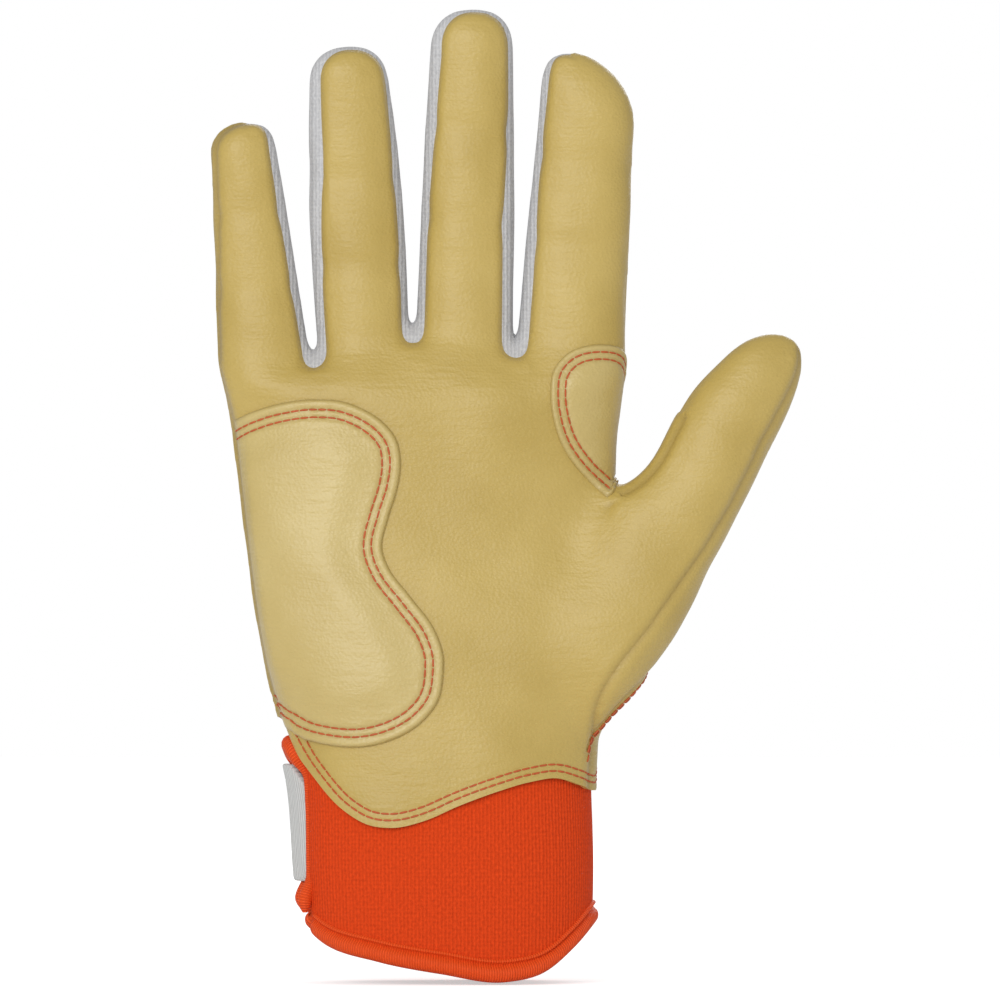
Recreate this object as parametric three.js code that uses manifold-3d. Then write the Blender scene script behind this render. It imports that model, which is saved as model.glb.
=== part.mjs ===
// Batting glove for the right hand, in its worn shape, built from the panels that it is sewn from.
// Millimetres. +Z runs to the fingertips, +X to the thumb and -Y out of the palm.
// The origin is the middle of the hand opening, level with the lowest point of the cuff's rim.
import * as THREE from "three";
import { mergeVertices } from "three/addons/utils/BufferGeometryUtils.js";
import Module from "manifold-3d";

const wasm = await Module();
wasm.setup();

// Thicknesses of the leather and cloth, and the clearance between sewn edges and stacked layers
const LEATHER = 1.2;
const CUFF_CLOTH = 2.4;
const FOAM = 1.6;
const STRAP_WEBBING = 1.8;
const TAPE = 1.0;
const GAP = 0.3;

// Cuff: an oval sleeve, straight up to the wrist line
const CUFF_HALF_WIDTH = 36.8;
const CUFF_HALF_DEPTH = 21.5;
const WRIST_HEIGHT = 54;
const CUFF_LAP = 7;

// Hand between the wrist line and the knuckles: each section's rise above the last, how far it reaches
// to the little-finger side and to the thumb side, and its depth on the palm and on the back
const HAND_SECTIONS = [
  { rise: 12, little: 42.6, thumb: 38, palm: 20.5, back: 18.5 },
  { rise: 14, little: 46.4, thumb: 41.5, palm: 20, back: 16 },
  { rise: 20, little: 49.6, thumb: 44, palm: 18, back: 14.5 },
  { rise: 20, little: 52, thumb: 41.5, palm: 16, back: 13.5 },
  { rise: 20, little: 54.5, thumb: 41.8, palm: 15, back: 12.5 },
];
const KNUCKLE_RISE = 15;
const KNUCKLE_PALM = 14;
const KNUCKLE_BACK = 11.5;
const KNUCKLE_ROUNDING = 13;
const HAND_SQUARENESS = 2.4;

// Fingers: half widths and half depths at the root, halfway and near the tip; the splay leans to the thumb;
// the seams are how far the front leather stops short of the outline, past its own thickness
const FINGERS = {
  little: {
    length: 58, splay: -5.5, cap: 7.2, tipShift: 1.5, curl: 3,
    width: [11.3, 9.55, 7.6], depth: [8.8, 8.0, 6.8],
    seam: { left: 0.5, right: 0.5, tip: 0.5 },
  },
  ring: {
    length: 76.8, splay: -3, cap: 8.7, tipShift: 0.2, curl: 4,
    width: [11.1, 11.55, 9.05], depth: [9.5, 9.0, 7.8],
    seam: { left: 2, right: 0.5, tip: 0.8 },
  },
  middle: {
    length: 86, splay: 1.6, cap: 10.2, tipShift: 0.5, curl: 4,
    width: [11.95, 11.3, 9.9], depth: [9.8, 9.2, 8.0],
    seam: { left: 0.5, right: 0.8, tip: 0.8 },
  },
  index: {
    length: 75, splay: 3.8, cap: 17, tipShift: -5, curl: 4,
    width: [13.3, 12.4, 11.1], depth: [9.8, 9.2, 8.0],
    seam: { left: 0.6, right: 0.5, tip: 0.5 },
  },
};
const MIDDLE_FINGER_X = 3.4;
const FINGER_ROOT = 13;
const FINGER_ROOT_DRAW = 0.3;
const FINGER_SQUARENESS = 2.3;
const TIP_SQUARENESS = 2.3;

// Webs between the fingers, from the little finger on: the width of each gap and its height over the knuckles
const WEBS = [
  { gap: 2.6, lift: 0 },
  { gap: 1.65, lift: 6 },
  { gap: 1.15, lift: 2.5 },
];
const WEB_SEAM = 1.8;

// Thumb, measured from its root in the ball of the thumb
const THUMB = {
  length: 92.2, splay: 26.5, cap: 34, tipShift: 4.1, curl: 3,
  width: [11.4, 12.1, 11.8], depth: [12.5, 11.4, 9.4],
  seam: { left: 0.8, right: 0.6, tip: 0.6 },
};
const THUMB_X = 39.4;
const THUMB_RISE = 25;
const THUMB_ROOT = 22;
const THUMB_ROOT_DRAW = 0.5;
const THUMB_FORWARD = 4.5;
const THUMB_WEB_AT = 37;
const THUMB_WEB_FLARE = 6.7;
const THUMB_WEB_FADE = 19.5;
const THUMB_BALL_SEAM = 5;
const THUMB_BALL_SEAM_FADE = 52;

// Flex creases: how far each stall bends forward, and the room at its sides and over the web
const FINGER_BEND = 70;
const THUMB_BEND = 45;
const BEND_SPARE = 2;
const CREASE_SIDE_ROOM = 0.8;
const THUMB_CREASE_FLARE = 2;
const CREASE_WEB_ROOM = 1.2;

// Heel patch and thumb-crotch patch, as outlines seen from the palm (x, z)
const HEEL_PATCH = [
  [-62, 137], [-44, 142], [-28, 142.5], [-16, 137.5], [-12.3, 127], [-14.4, 115],
  [-16.5, 105], [-10, 95.5], [-3, 85], [-1.6, 73], [-9, 62.5], [-24, 58], [-37, 60], [-54, 64],
];
const HEEL_PAD_INSET = 6;
const CROTCH_PATCH = [
  [38, 157.2], [30, 156], [25.6, 150], [25, 141], [28, 132], [33.5, 125], [38.5, 120.4],
  [41, 123], [45.5, 139], [48, 152],
];
const CROTCH_PATCH_WRAP = 5;
const CROTCH_X = 40;
const CROTCH_RISE = 65;

// Seam of the thumb's base panel, which tapers to the wrist: from the crotch down the back to the outline,
// and from there over the side to the front, where the back leather wraps the wrist below it (x, z)
const THUMB_SEAM_BACK = [[43, 100], [45.5, 88], [50, 76]];
const THUMB_SEAM_SIDE = [[50, 76], [42.4, 70.7], [38.2, 67.5], [36.7, 64.5], [35.2, 60.8], [34, 57.3], [30, 46]];

// Hems of the leather over the cuff, seen from the palm, and the cuff's rim (x, z)
const PALM_HEM = [
  [-60, 74], [-43.4, 66.4], [-37, 57.5], [-33, 52], [-29.5, 46], [-23, 41], [-13, 38.6], [-4, 41.4],
  [8, 47.2], [20, 50.6], [28, 51.2], [33.5, 48.6], [60, 48],
];
const BACK_HEM = [[-60, 74], [-43.4, 66.4], [-34, 59], [-18, 56.5], [24, 56.5], [32, 54], [38, 48.2], [60, 48]];
const RIM = [[-46, 24], [-37, 15], [-31, 9.2], [-18, 5], [-2, 2], [14, 0], [23, 2], [30.5, 8], [37, 14.5], [46, 24]];

// Rolled bindings of the rim and of the slit
const BINDING_HEIGHT = 5.6;
const BINDING_WALL = 1.3;
const BINDING_GROOVE = 3;
const SLIT_FRONT = -8;
const SLIT_BACK = 5;
const SLIT_TOP = 57;
const SLIT_ROLL = 2.3;

// Wrist strap over the slit and the back of the wrist
const STRAP_HEIGHT = 29;
const STRAP_FOOT = 24.5;
const STRAP_END_X = 20;
const STRAP_CORNER = 7;
const TAPE_MARGIN = 2.5;
const HOOK_LENGTH = 24;
const LOOP_LENGTH = 40;

// Counts of points round and along the lofts, the reach of cutting shapes and of the air beside a digit
const HAND_POINTS = 28;
const FINGER_POINTS = 16;
const SHAFT_STEPS = [0, 0.28, 0.54, 0.8];
const CAP_STEPS = [0, 0.5, 0.8, 0.96];
const RIM_STEPS = 21;
const ROLL_POINTS = 8;
const STRAP_STEPS = 24;
const REACH = 80;
const SIDE_AIR = 20;

const fingerNames = Object.keys(FINGERS);
const knuckleHeight = HAND_SECTIONS.reduce((sum, section) => sum + section.rise, WRIST_HEIGHT) + KNUCKLE_RISE;
const cuffOutside = -LEATHER - GAP;
const loopInside = cuffOutside + GAP;
const hookInside = loopInside + TAPE + GAP;
const strapInside = hookInside + TAPE + GAP;

// Closed three.js geometry as a solid that can be joined and cut
function solid(geometry) {
  const bare = geometry.clone();
  bare.deleteAttribute("normal");
  bare.deleteAttribute("uv");
  const merged = mergeVertices(bare, 1e-4);
  const vertProperties = new Float32Array(merged.attributes.position.array);
  const triVerts = new Uint32Array(merged.index.array);
  return new wasm.Manifold(new wasm.Mesh({ numProp: 3, vertProperties, triVerts }));
}

function geometryOf(body) {
  const mesh = body.getMesh();
  const geometry = new THREE.BufferGeometry();
  geometry.setAttribute("position", new THREE.BufferAttribute(new Float32Array(mesh.vertProperties), 3));
  geometry.setIndex(new THREE.BufferAttribute(new Uint32Array(mesh.triVerts), 1));
  geometry.computeVertexNormals();
  return geometry;
}

function joined(bodies) {
  return bodies.reduce((sum, body) => sum.add(body));
}

// Skin through rings of equally many points; each end is closed straight across from side to side
function loft(rings) {
  const count = rings[0].length;
  const index = [];
  const last = (rings.length - 1) * count;
  for (let i = 0; i < count; i++) {
    const j = (i + 1) % count;
    for (let row = 0; row < last; row += count) {
      index.push(row + i, row + j, row + count + j, row + i, row + count + j, row + count + i);
    }
  }
  for (let i = 1; i < count / 2; i++) {
    const [near, far] = [i, count - i];
    index.push(near - 1, (far + 1) % count, near, near, (far + 1) % count, far);
    index.push(last + near - 1, last + near, last + ((far + 1) % count), last + near);
    index.push(last + far, last + ((far + 1) % count));
  }
  const half = count / 2;
  index.push(half - 1, half + 1, half, last + half - 1, last + half, last + half + 1);
  const geometry = new THREE.BufferGeometry().setFromPoints(rings.flat());
  geometry.setIndex(index);
  return solid(geometry);
}

// Outline seen from the palm, as a prism between two depths
function prism(outline, front = -REACH, back = REACH) {
  const shape = new THREE.Shape(outline.map(([x, z]) => new THREE.Vector2(x, z)));
  const geometry = new THREE.ExtrudeGeometry(shape, { depth: back - front, bevelEnabled: false });
  geometry.rotateX(Math.PI / 2);
  geometry.translate(0, back, 0);
  return solid(geometry);
}

function box(width, depth, height) {
  return new THREE.BoxGeometry(width, depth, height);
}

// Smooth closed or open curve through points seen from the palm
function smooth(points, closed, steps) {
  const knots = points.map(([x, z]) => new THREE.Vector3(x, 0, z));
  const curve = new THREE.CatmullRomCurve3(knots, closed, "centripetal");
  const dots = curve.getPoints(steps);
  return (closed ? dots.slice(0, -1) : dots).map((dot) => [dot.x, dot.z]);
}

// Outline drawn in by a distance along its own normals
function inset(outline, distance) {
  const area = THREE.ShapeUtils.area(outline.map(([x, y]) => new THREE.Vector2(x, y)));
  return outline.map(([x, z], i) => {
    const before = outline.at(i - 1);
    const after = outline[(i + 1) % outline.length];
    const along = new THREE.Vector2(after[0] - before[0], after[1] - before[1]).normalize();
    const turn = Math.sign(area) * distance;
    return [x - along.y * turn, z + along.x * turn];
  });
}

// Everything seen from the palm on or above a curve
function above(curve) {
  return [...curve, [REACH * 2, REACH * 4], [-REACH * 2, REACH * 4]];
}

function oval(angle, squareness) {
  const bend = (value) => Math.sign(value) * Math.abs(value) ** (2 / squareness);
  return { across: bend(Math.cos(angle)), deep: bend(Math.sin(angle)) };
}

// Value at a place along a line through three equally spaced values
function throughThree([first, middle, last], share) {
  const slope = 4 * middle - 3 * first - last;
  const bow = 2 * first + 2 * last - 4 * middle;
  return first + slope * share + bow * share * share;
}

function roundedEnd(share, squareness) {
  return share <= 0 ? 1 : Math.max(1 - share ** squareness, 0) ** (1 / squareness);
}

// Fingers side by side: each root stands a web's gap from its neighbour's
function placeFingers() {
  const x = { middle: MIDDLE_FINGER_X };
  const step = (from, to, web) => FINGERS[from].width[0] + web.gap + FINGERS[to].width[0];
  x.ring = x.middle - step("middle", "ring", WEBS[1]);
  x.little = x.ring - step("ring", "little", WEBS[0]);
  x.index = x.middle + step("middle", "index", WEBS[2]);
  fingerNames.forEach((name, i) => {
    const webs = WEBS.slice(Math.max(i - 1, 0), i + 1);
    const lift = Math.max(...webs.map((web) => web.lift));
    Object.assign(FINGERS[name], { x: x[name], y: 0, z: knuckleHeight, bend: FINGER_BEND });
    Object.assign(FINGERS[name], { start: -FINGER_ROOT, rootDraw: FINGER_ROOT_DRAW });
    FINGERS[name].crease = lift + CREASE_WEB_ROOM + creaseRadius(FINGERS[name]);
  });
  Object.assign(THUMB, { x: THUMB_X, y: -THUMB_FORWARD, z: WRIST_HEIGHT + THUMB_RISE, bend: THUMB_BEND });
  Object.assign(THUMB, { start: -THUMB_ROOT, rootDraw: THUMB_ROOT_DRAW });
  THUMB.crease = THUMB_WEB_AT + CREASE_WEB_ROOM + creaseRadius(THUMB);
}

// Radius of the round crease that lets a stall bend fully without its front edges meeting
function creaseRadius(digit) {
  const half = THREE.MathUtils.degToRad((digit.bend + BEND_SPARE) / 2);
  const deepest = digit === THUMB ? digit.depth[1] : digit.depth[0];
  return deepest / Math.cos(half);
}

placeFingers();
const DIGITS = { ...FINGERS, thumb: THUMB };
const webCentres = WEBS.map((web, i) => {
  const finger = FINGERS[fingerNames[i]];
  return finger.x + finger.width[0] + web.gap / 2;
});

// Digit outline
function directions(digit) {
  const lean = THREE.MathUtils.degToRad(digit.splay);
  return {
    along: new THREE.Vector3(Math.sin(lean), 0, Math.cos(lean)),
    across: new THREE.Vector3(Math.cos(lean), 0, -Math.sin(lean)),
  };
}

function shareAlong(digit, s) {
  return Math.max(s, 0) / digit.length;
}

function tipShare(digit, s, grow) {
  return (s - (digit.length - digit.cap)) / (digit.cap + grow);
}

// A digit's root is drawn in, so that it ends inside the hand
function rootShare(digit, s) {
  return 1 - digit.rootDraw * (Math.max(-s, 0) / -digit.start) ** 1.5;
}

function halfWidth(digit, s, side) {
  const flare = digit === THUMB && side === "left"
    ? THUMB_WEB_FLARE * Math.min(1, Math.max(0, 1 - (s - THUMB_WEB_AT) / THUMB_WEB_FADE)) ** 3
    : 0;
  return throughThree(digit.width, shareAlong(digit, s)) * rootShare(digit, s) + flare;
}

function centre(digit, s, grow) {
  const { along, across } = directions(digit);
  const tip = Math.min(Math.max(tipShare(digit, s, grow), 0), 1);
  const point = new THREE.Vector3(digit.x, digit.y - digit.curl * shareAlong(digit, s) ** 2, digit.z);
  return point.addScaledVector(along, s).addScaledVector(across, digit.tipShift * tip ** 2);
}

function stationsAlong(digit, grow) {
  const capFoot = digit.length - digit.cap;
  const shaft = SHAFT_STEPS.map((share) => share * capFoot);
  return [digit.start, digit.start / 2, ...shaft, ...CAP_STEPS.map((share) => capFoot + share * (digit.cap + grow))];
}

function digitLoft(digit, grow) {
  const { across } = directions(digit);
  const back = new THREE.Vector3(0, 1, 0);
  const rings = stationsAlong(digit, grow).map((s) => {
    const draw = roundedEnd(tipShare(digit, s, grow), TIP_SQUARENESS);
    const middle = centre(digit, s, grow);
    const deep = (throughThree(digit.depth, shareAlong(digit, s)) * rootShare(digit, s) + grow) * draw;
    return Array.from({ length: FINGER_POINTS }, (_, i) => {
      const point = oval((i / FINGER_POINTS) * Math.PI * 2, FINGER_SQUARENESS);
      const wide = (halfWidth(digit, s, point.across < 0 ? "left" : "right") + grow) * draw;
      return middle.clone().addScaledVector(across, wide * point.across).addScaledVector(back, deep * point.deep);
    });
  });
  return loft(rings);
}

// Outline of the front and back panels of a digit, inside its seams
function digitCore(digit, clearance) {
  const { across } = directions(digit);
  const tip = -LEATHER - digit.seam.tip - clearance;
  const edge = (s, side) => {
    const ball = digit === THUMB && side === "right"
      ? THUMB_BALL_SEAM * Math.max(0, 1 - s / THUMB_BALL_SEAM_FADE)
      : 0;
    const half = halfWidth(digit, s, side) - LEATHER - digit.seam[side] - ball - clearance;
    const reach = half * roundedEnd(tipShare(digit, s, tip), TIP_SQUARENESS) * (side === "left" ? -1 : 1);
    const point = centre(digit, s, tip).addScaledVector(across, reach);
    return [point.x, point.z];
  };
  const stations = stationsAlong(digit, tip);
  return [...stations.map((s) => edge(s, "left")), ...stations.reverse().map((s) => edge(s, "right"))];
}

// Half of a digit's space on one side of its middle line, with all the air beside it
function digitSide(digit, side, clearance) {
  const { along, across } = directions(digit);
  const sign = side === "left" ? -1 : 1;
  const at = (s, t) => {
    const point = new THREE.Vector3(digit.x, 0, digit.z).addScaledVector(along, s).addScaledVector(across, t * sign);
    return [point.x, point.z];
  };
  const far = digit.length + SIDE_AIR;
  const shift = digit.tipShift * sign;
  return [at(-SIDE_AIR, clearance), at(-SIDE_AIR, SIDE_AIR), at(far, SIDE_AIR), at(far, clearance + shift)];
}

// Hand sections by height
function handStations() {
  let height = WRIST_HEIGHT;
  const cuff = { little: CUFF_HALF_WIDTH, thumb: CUFF_HALF_WIDTH, palm: CUFF_HALF_DEPTH, back: CUFF_HALF_DEPTH };
  const rows = [-REACH / 4, WRIST_HEIGHT / 2, WRIST_HEIGHT].map((z) => ({ z, ...cuff }));
  for (const section of HAND_SECTIONS) {
    height += section.rise;
    rows.push({ z: height, ...section });
  }
  const little = FINGERS.little.width[0] - FINGERS.little.x;
  const thumb = FINGERS.index.width[0] + FINGERS.index.x;
  rows.push({ z: knuckleHeight, little, thumb, palm: KNUCKLE_PALM, back: KNUCKLE_BACK });
  return rows;
}

const handRows = handStations();
const handCurves = Object.fromEntries(
  ["little", "thumb", "palm", "back"].map((name) => {
    const heights = handRows.map((row) => row.z);
    return [name, new THREE.CubicInterpolant(heights, handRows.map((row) => row[name]), 1, new Float32Array(1))];
  }),
);

function handAt(name, z) {
  return handCurves[name].evaluate(Math.min(z, knuckleHeight))[0];
}

const webLifts = new THREE.LinearInterpolant(webCentres, WEBS.map((web) => web.lift), 1, new Float32Array(1));

function lifted(x, z) {
  const share = THREE.MathUtils.smoothstep(z, knuckleHeight - FINGER_ROOT, knuckleHeight);
  return z + share * webLifts.evaluate(x)[0];
}

function handRing(z, grow, draw) {
  return Array.from({ length: HAND_POINTS }, (_, i) => {
    const point = oval((i / HAND_POINTS) * Math.PI * 2, HAND_SQUARENESS);
    const x = point.across * (handAt(point.across < 0 ? "little" : "thumb", z) + grow);
    const y = point.deep * (handAt(point.deep < 0 ? "palm" : "back", z) + grow) * draw;
    return new THREE.Vector3(x, y, lifted(x, z));
  });
}

function handLoft(grow) {
  const capFoot = knuckleHeight - KNUCKLE_ROUNDING;
  const shaft = handRows.map((row) => row.z).filter((z) => z < capFoot);
  const rings = shaft.map((z) => handRing(z, grow, 1));
  for (const share of CAP_STEPS) {
    rings.push(handRing(capFoot + share * (KNUCKLE_ROUNDING + grow), grow, roundedEnd(share, 2)));
  }
  return loft(rings);
}

// Outline of the palm and back panels between the side seams, up to the webs
function handCore(clearance) {
  const edge = LEATHER + clearance;
  const heights = handRows.map((row) => row.z);
  const top = knuckleHeight - WEB_SEAM - edge;
  const left = heights.map((z) => [FINGERS.little.seam.left + edge - handAt("little", z), Math.min(z, top)]);
  const right = heights.map((z) => [handAt("thumb", z) - THUMB.seam.left - edge, Math.min(z, top)]);
  const across = webCentres.map((x) => [x, lifted(x, knuckleHeight) - WEB_SEAM - edge]);
  return [...left, ...across, ...right.reverse()];
}

// Whole outside of the glove, grown outwards by a distance
function form(grow) {
  return joined([handLoft(grow), ...Object.values(DIGITS).map((digit) => digitLoft(digit, grow))]);
}

// Front or back half of a digit's space, parted along its curled middle
function digitHalf(digit, face) {
  const { along, across } = directions(digit);
  const stations = [digit.start, ...SHAFT_STEPS.map((share) => share * digit.length), digit.length + digit.cap];
  const middle = stations.map((s) => new THREE.Vector2(s, centre(digit, s, 0).y - digit.y));
  const far = face === "front" ? -REACH : REACH;
  const shape = new THREE.Shape([...middle, new THREE.Vector2(stations.at(-1), far), new THREE.Vector2(digit.start, far)]);
  const geometry = new THREE.ExtrudeGeometry(shape, { depth: REACH, bevelEnabled: false });
  geometry.translate(0, 0, -REACH / 2);
  const place = new THREE.Matrix4().makeBasis(along, new THREE.Vector3(0, 1, 0), across.negate());
  geometry.applyMatrix4(place.setPosition(digit.x, digit.y, digit.z));
  return solid(geometry);
}

// Front or back panels of everything, with a clearance at their seams
function core(face, clearance) {
  const digits = Object.values(DIGITS).map((digit) =>
    prism(digitCore(digit, clearance)).intersect(digitHalf(digit, face)),
  );
  const span = face === "front" ? [-REACH, 0] : [0, REACH];
  return joined([prism(handCore(clearance), ...span), ...digits]);
}

// Space that a stall takes at its crease and above it
function stallSpace(digit, grow) {
  const lean = THREE.MathUtils.degToRad(digit.splay);
  const widest = Math.max(...digit.width) + (digit === THUMB ? THUMB_CREASE_FLARE : 0);
  const wide = 2 * (widest + CREASE_SIDE_ROOM + grow);
  const high = digit.length;
  const knuckle = new THREE.CylinderGeometry(creaseRadius(digit) + grow, creaseRadius(digit) + grow, wide, 40);
  knuckle.rotateZ(Math.PI / 2);
  const stall = box(wide, REACH, high + grow);
  stall.translate(0, 0, (high - grow) / 2);
  const pivot = centre(digit, digit.crease, 0);
  return joined([knuckle, stall].map((shape) => solid(shape.rotateY(lean).translate(pivot.x, pivot.y, pivot.z))));
}

const outside = form(0);
const skin = outside.subtract(form(-LEATHER));
const frontCore = core("front", GAP / 2);
const backCore = core("back", GAP / 2);
const frontCoreRoom = core("front", -GAP / 2);
const backCoreRoom = core("back", -GAP / 2);
const coreRoom = frontCoreRoom.add(backCoreRoom);

const palmHem = smooth(PALM_HEM, false, 24);
const backHem = smooth(BACK_HEM, false, 18);
const leatherZone = prism(above(palmHem), -REACH, 0).add(prism(above(backHem), 0, REACH));

const group = new THREE.Group();

function add(name, body, colour, roughness) {
  const material = new THREE.MeshStandardMaterial({ color: colour, roughness, metalness: 0 });
  const mesh = new THREE.Mesh(geometryOf(body), material);
  mesh.name = name;
  group.add(mesh);
}

const GOLD_LEATHER = "#c9b272";
const PATCH_LEATHER = "#d2c18f";
const GREY_KNIT = "#b4b4b5";
const ORANGE_KNIT = "#d34318";
const ORANGE_TAPE = "#c94a1c";
const PALE_WEBBING = "#cdcfcc";
const FOAM_GREY = "#8f8f8c";

// Stalls: front, back and the knitted strip between them
const stallRooms = [];
for (const [name, digit] of Object.entries(DIGITS)) {
  const stall = skin.intersect(stallSpace(digit, 0));
  stallRooms.push(stallSpace(digit, GAP));
  const leftSide = prism(digitSide(digit, "left", GAP / 2));
  const rightSide = prism(digitSide(digit, "right", GAP / 2));
  let front = stall.intersect(frontCore);
  let back = stall.intersect(backCore);
  let strip = stall.subtract(coreRoom);
  if (name === "index") {
    front = stall.intersect(frontCore.add(rightSide.subtract(backCoreRoom)));
    strip = strip.intersect(leftSide);
  }
  if (name === "little") {
    back = stall.intersect(backCore.add(leftSide.subtract(frontCoreRoom)));
    strip = strip.intersect(rightSide);
  }
  if (name === "thumb") {
    back = stall.subtract(frontCoreRoom);
  }
  add(`${name}_front`, front, GOLD_LEATHER, 0.55);
  add(`${name}_back`, back, GOLD_LEATHER, 0.55);
  if (name !== "thumb") {
    add(`${name}_fourchette`, strip, GREY_KNIT, 0.85);
  }
}

// Hand: palm and back leather, the thumb's base panel and the webs between the fingers
const hand = stallRooms.reduce((rest, room) => rest.subtract(room), skin).intersect(leatherZone);
const crotchHeight = WRIST_HEIGHT + CROTCH_RISE;
const crotchLean = THREE.MathUtils.degToRad(THUMB.splay / 2);

function thumbZone(clearance) {
  const top = [CROTCH_X + clearance + REACH * Math.sin(crotchLean), crotchHeight + REACH * Math.cos(crotchLean)];
  const upper = [[CROTCH_X + clearance, crotchHeight], top, [REACH * 2, top[1]]];
  const corner = [REACH * 2, THUMB_SEAM_SIDE[0][1] + clearance];
  const back = THUMB_SEAM_BACK.map(([x, z]) => [x + clearance, z]).reverse();
  const side = THUMB_SEAM_SIDE.map(([x, z]) => [x - clearance, z + clearance]);
  const inner = [THUMB_SEAM_SIDE.at(-1)[0] - REACH, THUMB_SEAM_SIDE.at(-1)[1] + clearance];
  return prism([...upper, corner, ...side, inner], -REACH, 0).add(prism([...upper, corner, ...back], 0, REACH));
}

const indexSide = prism([
  [FINGERS.index.x, crotchHeight],
  [CROTCH_X, crotchHeight],
  [CROTCH_X + REACH * Math.sin(crotchLean), crotchHeight + REACH * Math.cos(crotchLean)],
  [FINGERS.index.x, crotchHeight + REACH],
]).subtract(thumbZone(-GAP));
const littleSide = prism([
  [-REACH * 2, 0],
  [FINGERS.little.x, 0],
  [FINGERS.little.x, REACH * 4],
  [-REACH * 2, REACH * 4],
]);
const wristSideX = THUMB_SEAM_SIDE.at(-1)[0];
const wristSideTop = THUMB_SEAM_BACK[0][1];
const wristSide = prism([
  [wristSideX, 0],
  [REACH * 2, 0],
  [REACH * 2, wristSideTop],
  [wristSideX, wristSideTop],
]);
add("palm_leather", hand.intersect(frontCore.add(indexSide.subtract(backCoreRoom))), GOLD_LEATHER, 0.55);
add(
  "back_leather",
  hand.intersect(backCore.add(littleSide.add(wristSide).subtract(frontCoreRoom))).subtract(thumbZone(-GAP)),
  GOLD_LEATHER,
  0.55,
);
add("thumb_base_panel", hand.intersect(thumbZone(0)).subtract(frontCoreRoom), GOLD_LEATHER, 0.55);
fingerNames.slice(0, -1).forEach((name, i) => {
  const next = fingerNames[i + 1];
  const foot = knuckleHeight - FINGER_ROOT;
  const between = prism([
    [FINGERS[name].x, foot],
    [FINGERS[next].x, foot],
    [FINGERS[next].x, knuckleHeight + REACH],
    [FINGERS[name].x, knuckleHeight + REACH],
  ]);
  add(`web_${name}_${next}`, hand.intersect(between).subtract(coreRoom), GREY_KNIT, 0.85);
});

// Patches sewn on the palm, and the foam under the heel patch
function layer(inside, outsideLevel, outline, front, back) {
  return form(outsideLevel).subtract(form(inside)).intersect(prism(outline, front, back));
}

const heelOutline = smooth(HEEL_PATCH, true, 28);
const padRoom = GAP + FOAM + GAP;

function padSpace(margin) {
  return prism(inset(heelOutline, margin), -REACH, 0).intersect(prism(handCore(margin), -REACH, 0));
}

const heelPatch = layer(GAP, GAP + LEATHER, heelOutline, -REACH, 0)
  .add(layer(GAP, padRoom + LEATHER, heelOutline, -REACH, 0).intersect(padSpace(HEEL_PAD_INSET - GAP - LEATHER)))
  .subtract(layer(0, padRoom, heelOutline, -REACH, 0).intersect(padSpace(HEEL_PAD_INSET - GAP)))
  .intersect(frontCore);
const heelPad = layer(GAP, GAP + FOAM, heelOutline, -REACH, 0).intersect(padSpace(HEEL_PAD_INSET));
add("heel_patch", heelPatch, PATCH_LEATHER, 0.5);
add("heel_pad", heelPad, FOAM_GREY, 0.95);

const crotchOutline = smooth(CROTCH_PATCH, true, 20);
const crotchPatch = layer(GAP, GAP + LEATHER, crotchOutline, -REACH, CROTCH_PATCH_WRAP);
add("thumb_crotch_patch", crotchPatch.intersect(indexSide.add(prism(crotchOutline, -REACH, 0))), GOLD_LEATHER, 0.5);

// Cuff: one sleeve from one edge of the slit round to the other, lapped under the leather
const rim = smooth(RIM, false, 20);

function raised(curve, rise) {
  return curve.map(([x, z]) => [x, z + rise]);
}

function sleeve(inside, outsideLevel) {
  return handLoft(outsideLevel).subtract(handLoft(inside));
}

const cuffFootRise = BINDING_HEIGHT - BINDING_GROOVE;
const cuffZone = prism(above(raised(rim, cuffFootRise)))
  .subtract(prism(above(raised(palmHem, CUFF_LAP)), -REACH, 0))
  .subtract(prism(above(raised(backHem, CUFF_LAP)), 0, REACH));
const slit = box(REACH, SLIT_BACK - SLIT_FRONT, SLIT_TOP + REACH);
slit.translate(-REACH / 2, (SLIT_FRONT + SLIT_BACK) / 2, (SLIT_TOP - REACH) / 2);
const cuffInside = cuffOutside - CUFF_CLOTH;
add("cuff", sleeve(cuffInside, cuffOutside).intersect(cuffZone).subtract(solid(slit)), ORANGE_KNIT, 0.9);

// Points on the cuff's oval: by level over the outside of the leather, and angle from the thumb side
function onCuff(level, angle, z = 0) {
  const point = oval(angle, HAND_SQUARENESS);
  const x = point.across * (CUFF_HALF_WIDTH + level);
  return new THREE.Vector3(x, point.deep * (CUFF_HALF_DEPTH + level), z);
}

// Angles at which the oval passes a depth on the little-finger side, or a place across on the back
function angleAtDepth(y) {
  const turn = Math.asin((Math.abs(y) / (CUFF_HALF_DEPTH + cuffOutside)) ** (HAND_SQUARENESS / 2));
  return Math.PI - Math.sign(y) * turn;
}

function angleAcrossBack(x) {
  const share = Math.abs(x) / (CUFF_HALF_WIDTH + cuffOutside);
  return Math.PI / 2 - Math.sign(x) * Math.asin(share ** (HAND_SQUARENESS / 2));
}

function angles(from, to, steps) {
  return Array.from({ length: steps + 1 }, (_, i) => from + ((to - from) * i) / steps);
}

const rimCurve = new THREE.LinearInterpolant(rim.map(([x]) => x), rim.map(([, z]) => z), 1, new Float32Array(1));
const cuffMiddle = cuffOutside - CUFF_CLOTH / 2;
const rollThickness = CUFF_CLOTH / 2 + GAP + BINDING_WALL;
const up = new THREE.Vector3(0, 0, 1);
const cuffRoom = sleeve(cuffInside - GAP, cuffOutside + GAP);

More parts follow.
